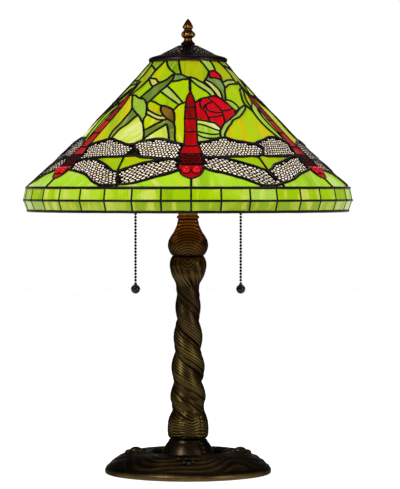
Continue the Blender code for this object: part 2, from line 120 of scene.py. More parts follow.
def set_stage():
    world = bpy.data.worlds.new("studio")
    bpy.context.scene.world = world
    world.use_nodes = True
    make = Nodes(world.node_tree)
    sky = world.node_tree.nodes["Background"]
    way = make.new("ShaderNodeSeparateXYZ")
    make.link(make.new("ShaderNodeTexCoord").outputs["Generated"], way.inputs["Vector"])
    room = (ROOM_LIGHT,) * 3  # the lamp reflects a room that is darker than its white backdrop
    lit = make.ramp(way.outputs["Y"], (0.86, room), (0.97, BACKDROP))
    seen = make.new("ShaderNodeLightPath").outputs["Is Camera Ray"]
    make.link(make.mix(seen, lit, BACKDROP), sky.inputs["Color"])
    sky.inputs["Strength"].default_value = 1.0
    bpy.context.scene.view_settings.view_transform = "Standard"
    area_light("key", (-1.5, -1.9, 1.9), (0, 0, 0.3), 0.95, 60)
    area_light("fill", (1.9, -1.6, 1.0), (0, 0, 0.25), 1.2, 24)
    area_light("rim", (0.3, 1.5, 2.4), (0, 0, 0.4), 1.4, 14)

    mesh = bpy.data.meshes.new("floor")
    form = bmesh.new()
    bmesh.ops.create_circle(form, cap_ends=True, segments=96, radius=FLOOR_RADIUS)
    form.to_mesh(mesh)
    form.free()
    floor = bpy.data.objects.new("floor", mesh)
    bpy.context.scene.collection.objects.link(floor)
    floor.data.materials.append(plaster())


def plaster():
    """Pale matt floor with a trace of unevenness."""
    material, make = new_material("floor_plaster")
    grain = make.noise(make.place(), scale=9.0, detail=3.0)
    shade = make.ramp(grain, (0.3, (0.80, 0.80, 0.80)), (0.7, (0.84, 0.84, 0.83)))
    make.shader(Base_Color=shade, Roughness=0.75, Specular_IOR_Level=0.2)
    make.shader(Emission_Color=shade, Emission_Strength=FLOOR_GLOW)
    return material


# ---- material helpers -------------------------------------------------------------------------------
class Nodes:
    """Makes and links the shader nodes of one material."""

    def __init__(self, tree):
        self.tree = tree

    def new(self, kind, **settings):
        node = self.tree.nodes.new(kind)
        for key, value in settings.items():
            setattr(node, key, value)
        return node

    def link(self, source, target):
        self.tree.links.new(source, target)

    def feed(self, socket, value):
        """Links a socket to another, or gives it a plain value."""
        if isinstance(value, bpy.types.NodeSocket):
            self.link(value, socket)
        elif isinstance(value, tuple) and len(value) == 3 and socket.type == "RGBA":
            socket.default_value = (*value, 1.0)
        else:
            socket.default_value = value

    def shader(self, **values):
        """Feeds the material's shader, with _ for each space in the name of an input."""
        inputs = self.tree.nodes["Principled BSDF"].inputs
        for name, value in values.items():
            self.feed(inputs[name.replace("_", " ")], value)

    def place(self):
        """Where a point is on the object, in metres."""
        return self.new("ShaderNodeTexCoord").outputs["Object"]

    def stored(self, name):
        """A vector that the mesh carries at each of its corners or points."""
        return self.new("ShaderNodeAttribute", attribute_name=name).outputs["Vector"]

    def scaled(self, vector, scale, shift=(0.0, 0.0, 0.0)):
        node = self.new("ShaderNodeMapping")
        self.link(vector, node.inputs["Vector"])
        node.inputs["Scale"].default_value = scale
        node.inputs["Location"].default_value = shift
        return node.outputs["Vector"]

    def noise(self, vector, scale=1.0, detail=2.0, rough=0.5, twist=0.0):
        node = self.new("ShaderNodeTexNoise")
        self.link(vector, node.inputs["Vector"])
        node.inputs["Scale"].default_value = scale
        node.inputs["Detail"].default_value = detail
        node.inputs["Roughness"].default_value = rough
        node.inputs["Distortion"].default_value = twist
        return node.outputs["Fac"]

    def ramp(self, factor, *stops):
        """A smooth colour ramp through (position, colour) stops."""
        node = self.new("ShaderNodeValToRGB")
        node.color_ramp.interpolation = "EASE"
        elements = node.color_ramp.elements
        while len(elements) < len(stops):
            elements.new(0.5)
        for element, (position, colour) in zip(elements, stops):
            element.position = position
            element.color = (*colour, 1.0)
        self.link(factor, node.inputs["Fac"])
        return node.outputs["Color"]

    def grey_ramp(self, factor, low, high):
        """From the grey value low to high, between (position, value) stops."""
        return self.ramp(factor, *((position, (value,) * 3) for position, value in (low, high)))

    def mix(self, factor, a, b, blend="MIX"):
        node = self.new("ShaderNodeMix", data_type="RGBA", blend_type=blend)
        self.feed(node.inputs[0], factor)
        self.feed(node.inputs[6], a)
        self.feed(node.inputs[7], b)
        return node.outputs[2]

    def math(self, operation, a, b=0.0, c=0.0):
        node = self.new("ShaderNodeMath", operation=operation)
        for socket, value in zip(node.inputs, (a, b, c)):
            self.feed(socket, value)
        return node.outputs[0]

    def bump(self, height, distance, strength=1.0):
        """distance is in millimetres."""
        node = self.new("ShaderNodeBump")
        self.link(height, node.inputs["Height"])
        node.inputs["Distance"].default_value = distance * MM
        node.inputs["Strength"].default_value = strength
        return node.outputs["Normal"]


def new_material(name):
    material = bpy.data.materials.new(name)
    material.use_nodes = True
    return material, Nodes(material.node_tree)


def srgb(red, green, blue):
    """A screen colour from 0 to 255 as the linear colour that shaders take."""
    screen = (red, green, blue)
    return tuple(((v / 255 + 0.055) / 1.055) ** 2.4 if v > 10 else v / 255 / 12.92 for v in screen)


def mixed(a, b, share):
    return tuple(x + (y - x) * share for x, y in zip(a, b))


# ---- meshes and pieces ------------------------------------------------------------------------------
STEP = 2.5  # spacing of points along a line
BEAD_SIDES = 8
SWELL, SWELL_PACE = 0.13, 0.16  # how much a solder line's width wanders, and how fast
SOLDER_RISE = 0.75  # height of a solder line over its half width
END_WEAR = 0.4  # wear where a skin's end is closed


def once_round(count):
    """Even steps once round, in radians."""
    return [2 * pi * k / count for k in range(count)]


def rim_sides(polygons):
    """The sides of polygons that no neighbour shares, each in its polygon's way round."""
    sides = {side for polygon in polygons for side in zip(polygon, (*polygon[1:], polygon[0]))}
    return [(a, b) for a, b in sides if (b, a) not in sides]


class Form:
    """Gathers solder lines, balls and plates, in millimetres, into one mesh. Some carry their wear."""

    def __init__(self, seed=0):
        self.verts, self.faces, self.wear = [], [], []
        self.draw = random.Random(seed)

    def loft(self, rings, ends, closed=False, wear=None):
        """Joins rings of points. An end is closed by a point, closed flat if it's True, or left open."""
        start, sides, last = len(self.verts), len(rings[0]), len(rings) - 1
        self.verts += [point for ring in rings for point in ring]
        for k in range(last + 1 if closed else last):
            here, there = start + k * sides, start + (k + 1) % len(rings) * sides
            for j in range(sides):
                n = (j + 1) % sides
                self.faces.append((here + j, here + n, there + n, there + j))
        for end, ring in zip(ends, (0, last)):
            loop = [start + ring * sides + j for j in range(sides)]
            if isinstance(end, Vector):
                self.verts.append(end)
                tip = len(self.verts) - 1
                self.faces += [(a, b, tip) for a, b in zip(loop, (*loop[1:], loop[0]))]
            elif end:
                self.faces.append(tuple(loop))
        if wear is not None:
            self.wear += [wear] * (len(self.verts) - start)

    def line(self, points, normals, half_width, rise=SOLDER_RISE, closed=False, wear=None):
        """A rounded bead along points: half_width to each side, and rise times that above and below."""
        count, rings = len(points), []
        wander = self.draw.uniform(0, 100)
        for k, (point, normal) in enumerate(zip(points, normals)):
            before = points[k - 1] if k or closed else point
            after = points[(k + 1) % count] if k < count - 1 or closed else point
            across = normal.cross((after - before).normalized()).normalized()
            swell = 1.0 + SWELL * noise.noise(Vector((k * STEP * SWELL_PACE + wander, wander, 0.0)))
            ways = [across * cos(t) + normal * (sin(t) * rise) for t in once_round(BEAD_SIDES)]
            rings.append([point + way * (half_width * swell) for way in ways])
        self.loft(rings, (not closed, not closed), closed, wear)

    def ball(self, middle, radius, stretch=Matrix.Identity(3), rings=7, sides=12, wear=0.5):
        loops = []
        for ring in range(1, rings):
            lift = pi * ring / rings
            ways = [Vector((sin(lift) * cos(t), sin(lift) * sin(t), cos(lift))) for t in once_round(sides)]
            loops.append([middle + stretch @ (way * radius) for way in ways])
        pole = stretch @ Vector((0.0, 0.0, radius))
        self.loft(loops, (middle + pole, middle - pole), wear=wear)

    def blob(self, point, normal, radius, rise=0.7):
        """A rounded lump of solder where lines meet."""
        right = normal.orthogonal().normalized()
        lie = Matrix((right, normal.cross(right), normal * rise)).transposed()
        self.ball(point, radius, lie, rings=4, sides=10, wear=None)

    def plate(self, top, bottom, polygons):
        """A plate between two sets of points, with sides along its rim and its openings."""
        start, under = len(self.verts), len(self.verts) + len(top)
        self.verts += [*top, *bottom]
        for polygon in polygons:
            self.faces.append(tuple(start + k for k in polygon))
            self.faces.append(tuple(under + k for k in reversed(polygon)))
        self.faces += [(start + b, start + a, under + a, under + b) for a, b in rim_sides(polygons)]

    def mesh(self, name, material, sheet=None, soft=True):
        """The mesh. sheet is each point's place on the sheet of glass that it was cut from."""
        mesh = bpy.data.meshes.new(name)
        mesh.from_pydata([v * MM for v in self.verts], [], self.faces)
        if self.wear:
            mesh.attributes.new("wear", "FLOAT", "POINT").data.foreach_set("value", self.wear)
        if sheet:
            places = mesh.attributes.new("sheet", "FLOAT_VECTOR", "POINT")
            places.data.foreach_set("vector", [v for place in sheet for v in place])
        mesh.materials.append(material)
        form = bmesh.new()
        form.from_mesh(mesh)
        bmesh.ops.recalc_face_normals(form, faces=form.faces)
        form.to_mesh(mesh)
        form.free()
        if soft:
            mesh.shade_smooth()
        return mesh


def skin(name, place, columns, rows, material, capped=True):
    """A surface through place(u, v), with u going round from 0 to 1 and v going up. place gives a point in
    millimetres and its wear, from 0 in a groove to 1 on a crest."""
    form, rings = Form(), []
    for j in range(rows + 1):
        spots = [place(i / columns, j / rows) for i in range(columns)]
        rings.append([point for point, _ in spots])
        form.wear += [rub for _, rub in spots]
    ends = [sum(ring, Vector()) / columns if capped else False for ring in (rings[0], rings[-1])]
    form.loft(rings, ends)
    form.wear += [END_WEAR] * (len(form.verts) - len(form.wear))
    return form.mesh(name, material)


def catmull(a, b, c, d, t):
    return 0.5 * (2 * b + (c - a) * t + (2 * a - 5 * b + 4 * c - d) * t**2 + (3 * (b - c) + d - a) * t**3)


def smooth(points, steps):
    """A smooth curve through points, in steps(p, q) steps from each point to the next."""
    knots = [Vector(p) for p in points]
    knots = [2 * knots[0] - knots[1], *knots, 2 * knots[-1] - knots[-2]]
    made = [knots[1]]
    for a, b, c, d in zip(knots, knots[1:], knots[2:], knots[3:]):
        count = steps(b, c)
        made += [catmull(a, b, c, d, (k + 1) / count) for k in range(count)]
    return made


def smooth_outline(points, count):
    """A smooth curve through (a, b) points, in count steps from each to the next."""
    return [(p.x, p.y) for p in smooth(points, lambda p, q: count)]


def round_at(radius, angle, z):
    """A point at an angle in radians round the lamp's axis."""
    return Vector((radius * cos(angle), radius * sin(angle), z))


def add_piece(name, mesh, body, slot):
    piece = bpy.data.objects.new(name, mesh)
    bpy.context.scene.collection.objects.link(piece)
    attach(piece, body)
    return piece


# ---- the shade's surface ----------------------------------------------------------------------------
SHADE_TURN = 1.3  # the shade is clamped a little off square
PATTERN_LEAN = 1.0  # how far round the top of the pattern runs ahead of its foot
CAME_PROUD = 0.4  # how far the CAD's round leads stand out of the glass
FIELD_TOP = (46.4, 507.0)  # radius and height of the glass's outer face under the cap
FIELD_SAG = 4.6  # how hollow the field's profile is
FIELD_BOTTOM = (ring_of("field_came")[0] - CAME_PROUD, ring_of("field_came")[1])
GIRTH = (ring_of("girth_came")[0] - CAME_PROUD, ring_of("girth_came")[1])
RIM = (ring_of("rim_came")[0] - CAME_PROUD, ring_of("rim_came")[1])
GLASS = 3.0  # glass thickness
TILES = 36
TILE = 360.0 / TILES
PERIOD = 120.0  # the pattern repeats after two dragonflies
HALF = PERIOD / 2  # from one dragonfly to the next
REPEATS = 3
PERCENT = 2.17  # length of one percent of the field's slope


def field_profile(s):
    radius = FIELD_TOP[0] + (FIELD_BOTTOM[0] - FIELD_TOP[0]) * s - 4 * FIELD_SAG * s * (1 - s)
    return radius, FIELD_TOP[1] + (FIELD_BOTTOM[1] - FIELD_TOP[1]) * s


def shade_frame(angle, percent):
    """(point, outward normal, direction to the right, direction downhill) on the field's outer face."""
    s = percent / 100
    radius, height = field_profile(s)
    ahead, behind = field_profile(s + 0.01), field_profile(s - 0.01)
    run, drop = ahead[0] - behind[0], behind[1] - ahead[1]
    slope = hypot(run, drop)
    turn = radians(angle + SHADE_TURN + PATTERN_LEAN * (1 - s) - 90.0)
    out = Vector((cos(turn), sin(turn), 0.0))
    point = out * radius + UP * height
    normal = (out * drop + UP * run) / slope
    downhill = (out * run - UP * drop) / slope
    return point, normal, Vector((-out.y, out.x, 0.0)), downhill


def on_shade(angle, percent, proud=0.0):
    point, normal, _, _ = shade_frame(angle, percent)
    return point + normal * proud


def degree_at(percent):
    """Length of one degree round the field."""
    return radians(1.0) * field_profile(percent / 100)[0]


# ---- the pattern ------------------------------------------------------------------------------------
DRAWN_MIDDLE = 0.9  # where the front dragonfly stands in the drawn lines
DRAWN_LEFT, DRAWN_RIGHT = 62.6, 60.6  # from there to the next dragonfly on each side, as drawn
FINENESS = 2  # the evened lines keep to halves of a degree and of a percent


class Root(tuple):
    """A point at a dragonfly's body, which stays where it is when the drawn lines are evened."""


def evened(path, drawn):
    """A drawn line, moved so that the dragonflies stand evenly round the lamp."""
    stretch = HALF / drawn
    return [
        point
        if isinstance(point, Root)
        else (
            round((point[0] - DRAWN_MIDDLE) * stretch * FINENESS) / FINENESS,
            round(point[1] * FINENESS) / FINENESS,
        )
        for point in path
    ]


# The solder lines between two dragonflies, drawn as (degrees, percent).
LEFT_LINES = {  # from the next dragonfly on the left to the front one
    "stalk_a": [(-16, 0), (-12.5, 5), (-9.2, 11)],
    "stalk_b": [(-36.4, 0), (-30, 4.3), (-23.6, 7.3), (-18.5, 9.7), (-17.6, 11)],
    "stalk_c": [(-41, 0), (-45, 4.3), (-48, 8), (-49.2, 13.3), (-49.6, 15), (-53, 20), (-57, 25)],
    "stalk_d": [(-67.4, 3.5), (-62, 3.5), (-55.6, 5), (-48, 7)],
    "blade_top": [(-49.3, 13.3), (-43.6, 14), (-38, 14.7), (-34.7, 16.3), (-31.3, 17.6)],
    "blade_right": [(-31.3, 17.6), (-27.9, 16.3), (-23.6, 14.3), (-20.2, 11.7), (-18, 11)],
    "blade_low": [(-49.2, 14), (-45, 16.7), (-39.8, 19.7), (-36.4, 20.7)],
    "band_left": [(-31.5, 17.6), (-36.4, 20.6), (-39.4, 23.3), (-41.5, 26), (-43.2, 29)],
    "band_bottom": [(-43.2, 29), (-39.4, 30.3), (-36.4, 32), (-33.8, 34.3)],
    "band_right": [
        (-33.8, 34.3), (-32.1, 32.3), (-29.6, 28.7), (-26.2, 24.7), (-22.3, 20.7), (-19.3, 17.3),
        (-17.5, 14), (-17.6, 11),
    ],
    "node_top": [(-17.6, 11), (-13.8, 11), (-9.1, 11), (-4.8, 12.3), (-1, 13.3), (0.9, 13.5)],
    "node_low": [(-20, 17), (-15, 16.5), (-10.8, 15.8), (-6.5, 15.2), (-2.3, 14.8), (0.9, 14.5)],
    "leaf_a_top": [(-21, 20.7), (-19.3, 21.7), (-15, 24.7), (-10.8, 28), (-7, 31.7), (-4.8, 34)],
    "leaf_a_low": [(-24.5, 25.3), (-20.2, 28), (-15, 31), (-10.8, 33.7), (-8.2, 35.3)],
    "bud_stalk": [(-10.5, 39.5), (-8.2, 36), (-5.3, 34.3), (-2.9, 33.5), (-0.5, 33)],
    "leaf_b": [
        (-30.5, 32.5), (-27, 33.7), (-23.6, 35), (-21, 36), (-17.6, 36.7), (-14.2, 38), (-11.2, 39.7),
    ],
    "amber_left": [(-33, 34.5), (-32.1, 37), (-30, 39.3)],
    "amber_low": [(-30, 39.3), (-25.7, 41.7), (-21.5, 43.7), (-18.5, 44.3)],
    "bud_left": [(-21, 36.5), (-19.8, 40), (-17.6, 43.7), (-14.6, 46), (-9.5, 49.3)],
    "bud_right": [
        (-21, 36.3), (-16.8, 37), (-12.9, 38.7), (-10.8, 41), (-9.5, 44.3), (-8.9, 48.3), (-9.3, 50),
    ],
    "sliver_low": [(-30, 42.3), (-25.7, 44.3), (-21.5, 46.7), (-18.9, 47.3), (-15, 47.7)],
    "long_leaf_top": [
        (-62, 25.5), (-59.4, 26.7), (-56.5, 26.8), (-51.3, 27.7), (-47.1, 29), (-43.2, 29.8),
        (-39.4, 30.7), (-34.7, 33.3), (-32.6, 36.7), (-30.9, 40), (-29.6, 44), (-29.8, 46.7), (-28.9, 50),
    ],
    "long_leaf_low": [
        (-56.5, 26.8), (-53.5, 29.3), (-49.2, 33.3), (-45.4, 37), (-41.9, 39.3), (-38.5, 41.3),
        (-35.5, 43.3), (-33, 45.3), (-30.9, 48), (-28.9, 50),
    ],
    "long_leaf_stem": [(-28.9, 50), (-26.2, 55.7), (-24.5, 60), (-24, 64.7)],
    "stem_a_left": [
        (-45.4, 37), (-44.5, 40), (-44.9, 43.3), (-46.3, 50), (-47.5, 55), (-47.1, 60), (-45.8, 62),
    ],
    "stem_a_right": [(-36.2, 43.3), (-38.1, 46.7), (-40, 50), (-42.8, 54), (-44.1, 58.3), (-44.3, 61.7)],
    "strip_upper": [(-17, 48.5), (-20.2, 50.7), (-25.3, 55)],
    "strip_lower": [(-13.8, 51), (-19.3, 56.7), (-22.7, 60.7), (-24, 63)],
    "stem_b_left": [(-13.4, 51.3), (-11.7, 56.7), (-10.8, 61.7), (-10.4, 64)],
    "stem_b_right": [(-9, 50), (-8.2, 55), (-7.2, 61.7), (-6.5, 65.3)],
    "wing_c_up": [
        Root((-3, 67)), (-6.5, 65.7), (-10, 64), (-13.8, 62.7), (-17.2, 62.7), (-21.5, 63.7),
        (-25.7, 64.7), (-28, 66.5),
    ],
    "wing_n_up": [
        Root((-57, 67)), (-53.5, 64.7), (-49.6, 63.3), (-47.1, 62.3), (-43.2, 62), (-39.8, 63.3),
        (-36.4, 64.7), (-32.1, 66.3), (-28, 66.5),
    ],
    "wing_c_low": [(-10.8, 78), (-15, 79.3), (-19.3, 81), (-23.6, 83.3), (-26.6, 85.7), (-28.7, 87.7)],
    "wing_n_low": [
        (-50, 77.7), (-44.9, 78), (-41.5, 79.7), (-37.3, 82), (-33.8, 84.3), (-31.3, 87), (-28.7, 87.7),
    ],
    "diamond": [(-29.8, 75.7), (-29.4, 87.2)],
    "wing_c_up_tip": [(-28, 66.5), (-26.6, 69), (-24.5, 72.7), (-24.5, 75)],
    "wing_c_up_low": [(-24.5, 75), (-21.5, 76.3), (-17.2, 77.2), (-10.8, 77.9), Root((-4.2, 78))],
    "wing_n_up_tip": [(-26.6, 69), (-28.3, 73), (-29.8, 75.7)],
    "wing_n_up_low": [
        (-29.8, 75.7), (-34.3, 76), (-39.8, 76), (-44.1, 76.7), (-50, 77.5), Root((-55.8, 78)),
    ],
    "tip_tie": [(-24.5, 75), (-29.8, 75.7)],
    "wing_tips_low": [(-28.7, 87.7), (-27.9, 91.7), (-26.2, 97.3), (-26.2, 100)],
    "wing_c_low_back": [
        (-26.2, 97.3), (-21.5, 96.7), (-17.2, 94.3), (-12.9, 91.7), (-8.7, 89.3), Root((-4.1, 86)),
    ],
    "wing_n_low_back": [
        (-26.2, 97.3), (-32.1, 98), (-34.7, 97), (-38.1, 94.3), (-41.5, 91.3), (-44.9, 89), (-49.2, 87.7),
        (-53, 86.5), Root((-55.9, 85.5)),
    ],
}  # fmt: skip
RIGHT_LINES = {  # from the front dragonfly to the next one on the right
    "top_leaf_left": [(17.5, 0), (21, 2.7), (23.6, 6), (24.9, 8.3)],
    "top_leaf_right": [(34.5, 0), (35.5, 1.7), (35.8, 5), (35.1, 7), (34.3, 8.2)],
    "red_bud_top": [(24.9, 8.7), (30, 8), (34.3, 8.2), (36.4, 9.7), (38.1, 11.7), (37.3, 14), (36.4, 16)],
    "red_bud_left": [(24.9, 8.7), (24, 11), (23.6, 13.3)],
    "red_bud_low": [(23.6, 13.3), (28.7, 13.3), (33.8, 14.3), (36.4, 16)],
    "sepal_left": [
        (19.3, 16), (23.2, 18), (25.7, 20.3), (27.4, 22.7), (28.3, 25.3), (27.9, 28.3), (27.4, 30.3),
    ],
    "sepal_right": [(35.5, 16), (35.8, 18.7), (35.1, 21.3), (33.4, 24), (31.7, 27), (30.4, 30)],
    "top_pane_low": [(0.9, 13.5), (2.3, 13.5), (6.5, 14.7), (10.8, 16.3), (14.4, 18)],
    "top_pane_right": [(24.9, 8.7), (22.3, 11.7), (19.3, 14), (16.8, 16), (14.4, 18)],
    "leaf_c_upper": [(14.4, 18), (17.2, 20), (20.2, 22.7), (21.9, 26), (22.3, 28.7)],
    "leaf_c_lower": [(1.4, 15), (4.4, 17.7), (8.7, 20.3), (12.5, 23), (15.9, 25.7), (18, 28.3)],
    "leaf_d_left": [(15.5, 17.3), (18.9, 20.3), (21, 23.3), (22.7, 26.7), (23.6, 29.3)],
    "rose": [
        (3.2, 35), (6.5, 32.7), (10, 30.3), (15.1, 29.7), (18.5, 28.7), (21.9, 28.7), (25.3, 30),
        (27.9, 32.3), (30, 35.3), (31.7, 38.3), (32.5, 40), (31.8, 42),
    ],
    "rose_low": [(3.5, 47.7), (8.7, 48), (12.1, 49), (15.1, 50), (17.6, 53.3), (18.3, 53.5)],
    "petal_a": [
        (10, 30.5), (8.2, 33.3), (7.8, 36), (8.7, 38.7), (10.4, 40), (11.2, 42.7), (12.1, 45.7),
        (12.1, 49),
    ],
    "petal_b": [(9.5, 39), (11.2, 36.7), (12.9, 35), (16.4, 33.7), (17.6, 32.7)],
    "petal_c": [
        (15.5, 29.8), (16.8, 32), (18.9, 34), (20.6, 36.7), (21.9, 39.7), (21.9, 44.3), (21.7, 49.5),
    ],
    "petal_d": [(12.1, 36), (12.1, 37.3), (12.5, 39.3), (15.1, 41), (18, 41.7), (21.8, 41.3)],
    "petal_e": [(12.1, 45.3), (16.4, 45), (20.6, 44), (21.9, 43.7)],
    "petal_f": [(22, 39.8), (27, 39.3), (30.4, 38.3), (31.5, 38.5)],
    "rose_leaf": [
        (28.3, 31.3), (31.3, 31.3), (34.3, 32.7), (36.4, 34.7), (37.3, 37), (36, 39), (33.8, 40),
        (32.1, 40.3),
    ],
    "blade_e_upper": [(35.5, 17), (39, 16.3), (42.8, 15.3), (47.1, 15.2), (56, 15)],
    "blade_e_lower": [(35.5, 21.3), (38.5, 20.3), (41.9, 19), (45.8, 18.5), (51.3, 18.2), (59.4, 18)],
    "side_a": [(50.9, 0), (54.8, 2), (56.5, 5.7), (57.3, 10), (56, 14.3), (55.5, 18.2)],
    "side_b": [
        (61.5, 16.5), (59.4, 19.7), (56.9, 21.3), (53.9, 22.7), (50.9, 25.3), (48.3, 28.3), (46.6, 31.3),
        (45.8, 34.3), (46.2, 35), (47.5, 37.7), (48.8, 40),
    ],
    "side_c": [(61.5, 19), (57.7, 24), (53.9, 27.7), (51.3, 31), (50.5, 34.3), (49.6, 38.7), (48.8, 40)],
    "side_d": [
        (60, 29), (57.7, 32), (53.5, 35), (50.5, 37.7), (48.8, 41), (48.8, 46.7), (49.2, 50), (50.9, 55),
        (53, 59), (54.3, 61.3),
    ],
    "side_e": [
        (59.5, 33.5), (59, 36), (56.4, 39), (55.2, 42), (54.8, 45), (55.2, 50), (56.5, 56.7),
        (57.3, 61.7),
    ],
    "pale_leaf_upper": [
        (45.4, 35), (41.1, 36.3), (37.3, 38.7), (33, 41.3), (28.7, 44.7), (24.5, 47.3), (21, 50),
        (18.9, 52.7), (17.2, 56), (16.4, 58.7), (15.9, 61.3),
    ],
    "pale_leaf_lower": [
        (45.4, 35), (43.2, 38), (39.8, 40.7), (36.4, 43), (33, 45), (29.6, 46.7), (27, 48), (25.3, 50.7),
        (22.7, 53), (20.6, 56), (19.3, 58.7), (18.5, 61.3),
    ],
    "pale_leaf_tip": [(45.4, 35), (47.5, 37.7)],
    "crescent_a": [(4, 50.7), (7.8, 51.7), (10.8, 53), (13.3, 54.7), (17, 56.3)],
    "crescent_b": [(4, 56.3), (6.5, 57.7), (10, 58.7), (12.5, 59), (16.4, 58.7)],
    "crescent_c": [(4, 58.7), (5.7, 60.3), (7.8, 61.7), (10.8, 62), (16, 61.3)],
    "wing_c_up": [
        Root((3, 67)), (4.4, 65.7), (8.7, 64.3), (12.9, 62.7), (16.4, 61.5), (19.3, 61.7), (22.7, 63.3),
        (27, 64.7), (30.4, 65.5), (33.4, 66),
    ],
    "wing_n_up": [
        (33.4, 66), (35.5, 64.3), (39.8, 63), (43.2, 61.7), (45.8, 60.7), (49.2, 60.3), (53, 61),
        (56, 63.3), Root((57, 66.5)),
    ],
    "wing_n_up_low": [(33.8, 74.7), (36.4, 75.3), (40.7, 75.7), (47.1, 75.3), (51.3, 75), Root((55.8, 76))],
    "wing_c_low": [
        (13.3, 76.4), (16.4, 78), (20.2, 79.7), (23.6, 81.3), (27, 83.7), (29.6, 85.7), (32.1, 87),
    ],
    "wing_n_low": [
        (51.3, 75.4), (49.2, 76.3), (44.9, 78.3), (40.7, 80.3), (37.3, 82), (35.1, 84.3), (32.1, 87),
    ],
    "diamond": [(31, 75.9), (31.7, 80), (32.1, 87)],
    "wing_c_up_tip": [(33.4, 66), (36, 68), (36.4, 70), (35.1, 72.7), (33.8, 74.7), (31, 75.9)],
    "wing_c_up_low": [(31, 75.9), (27.9, 75.7), (23.6, 76), (18.5, 75.9), (13.8, 76.3), Root((4.2, 76.5))],
    "wing_tips_low": [(32.1, 87), (33, 91.7), (34.7, 95.5), (34.7, 100)],
    "wing_c_low_back": [
        (34.7, 97), (31, 98), (27.4, 98), (24.5, 96.7), (21, 93.7), (16.8, 90.7), (12.9, 88.7), (9.1, 87),
        Root((4.2, 84)),
    ],
    "wing_n_low_back": [
        (34.7, 96.5), (38.5, 95), (42.8, 92.3), (47.1, 89.3), (51.3, 87.7), Root((55.8, 85)),
    ],
}  # fmt: skip

# A dragonfly's right edge, from the tip of its tail to its chin, and the cuts across its body.
BODY_EDGE = [
    (0, 25), (1.9, 28), (3.1, 32), (3.5, 37), (3.6, 46.5), (3.2, 56.5), (3.3, 66), (3.8, 68), (4.4, 71),
    (4.8, 74), (4.9, 84), (4.5, 87), (3.4, 90), (1.6, 92), (0, 92.8),
]  # fmt: skip
BODY_CUTS = (37, 46.5, 56.5, 67.5)
CUT_SAG = 0.5
SPINE_TOPS = (13.4, 16.5)  # where the line that runs down to a tail begins
THORAX = (73.5, 83.0)  # where the etched mesh crosses the body
EYES = [(-1.95, 86.6), (1.95, 86.6)]

HEAVY, SPINE, MEDIUM, FINE, THIN = 1.95, 1.8, 1.42, 1.2, 1.05  # half widths of the solder lines
SNAP = 5.0  # a line's end within this distance of another line is joined to it
JOINED = 0.05  # a line's end within this distance of another line is on it already
OVERSHOOT = 0.03  # degrees or percent by which lines cross where they meet, so that the cut is clean


def line_width(name):
    if name.startswith(("wing", "tip")):
        return HEAVY
    if name.startswith("body"):
        return THIN
    if name.startswith("spine"):
        return SPINE
    return FINE if name.startswith(("petal", "crescent", "cut")) else MEDIUM


def smooth_line(points):
    """A smooth curve through (degrees, percent) points, as points about STEP millimetres apart."""
    return smooth(points, lambda p, q: max(1, round((on_shade(*p) - on_shade(*q)).length / STEP)))


def pattern_lines():
    """(name, points) of every solder line of one period, which reaches half a period to each side."""
    raw = {f"{name}_left": evened(path, DRAWN_LEFT) for name, path in LEFT_LINES.items()}
    raw |= {f"{name}_right": evened(path, DRAWN_RIGHT) for name, path in RIGHT_LINES.items()}
    for number, middle in enumerate((0.0, -HALF)):
        edge = [(middle + a, s) for a, s in BODY_EDGE]
        raw[f"body_{number}_right"] = edge
        raw[f"body_{number}_left"] = [(2 * middle - a, s) for a, s in edge]
        raw[f"spine_{number}"] = [(middle, SPINE_TOPS[number]), (middle, 26)]
        raw[f"chin_{number}"] = [(middle, BODY_EDGE[-1][1]), (middle, 100)]
        for cut in BODY_CUTS:
            left, right = middle - body_half_width(cut), middle + body_half_width(cut)
            raw[f"cut_{number}_{cut}"] = [(left, cut), (middle, cut + CUT_SAG), (right, cut)]
    curves = {name: smooth_line(points) for name, points in raw.items()}
    for name, points in curves.items():
        if name.startswith(("body", "cut", "spine", "chin")):
            continue
        while in_body(points[0]):
            points.pop(0)
        while in_body(points[-1]):
            points.pop()
    return join_ends(curves)


def in_body(point):
    beside = (point.x + HALF / 2) % HALF - HALF / 2
    return abs(beside) < body_half_width(point.y)


def body_half_width(percent):
    """In degrees; 0 above the tail and below the chin."""
    for (a, s), (b, t) in zip(BODY_EDGE, BODY_EDGE[1:]):
        if s <= percent <= t:
            return a + (b - a) * (percent - s) / (t - s)
    return 0.0


def join_ends(lines):
    """Carries each line's ends to the nearest other line, so that the panes between them close."""
    everywhere = [
        (name, shift, [Vector((p.x + shift, p.y)) for p in points])
        for name, points in lines.items()
        for shift in (-PERIOD, 0.0, PERIOD)
    ]
    joined = {}
    for name, points in lines.items():
        others = [other for owner, shift, other in everywhere if owner != name or shift]
        first, last = nearest_point(points[0], others), nearest_point(points[-1], others)
        path = [*([first] if first else []), *points, *([last] if last else [])]
        path[0] = path[0] + (path[0] - path[1]).normalized() * OVERSHOOT
        path[-1] = path[-1] + (path[-1] - path[-2]).normalized() * OVERSHOOT
        joined[name] = path
    return joined


def nearest_point(end, others):
    """Where a line's end should go on to, or None if it's on the field's edge or already on another line."""
    if end.y <= 0.01 or end.y >= 99.99:
        return None
    across, along = degree_at(end.y), PERCENT
    here = Vector((end.x * across, end.y * along))
    best, found = SNAP, None
    for other in others:
        flat = [Vector((p.x * across, p.y * along)) for p in other]
        for k, (a, b) in enumerate(zip(flat, flat[1:])):
            run = b - a
            t = max(0.0, min(1.0, (here - a).dot(run) / max(run.length_squared, 1e-9)))
            away = (a + run * t - here).length
            if away < best:
                best, found = away, other[k] + (other[k + 1] - other[k]) * t
    return found if found and best > JOINED else None


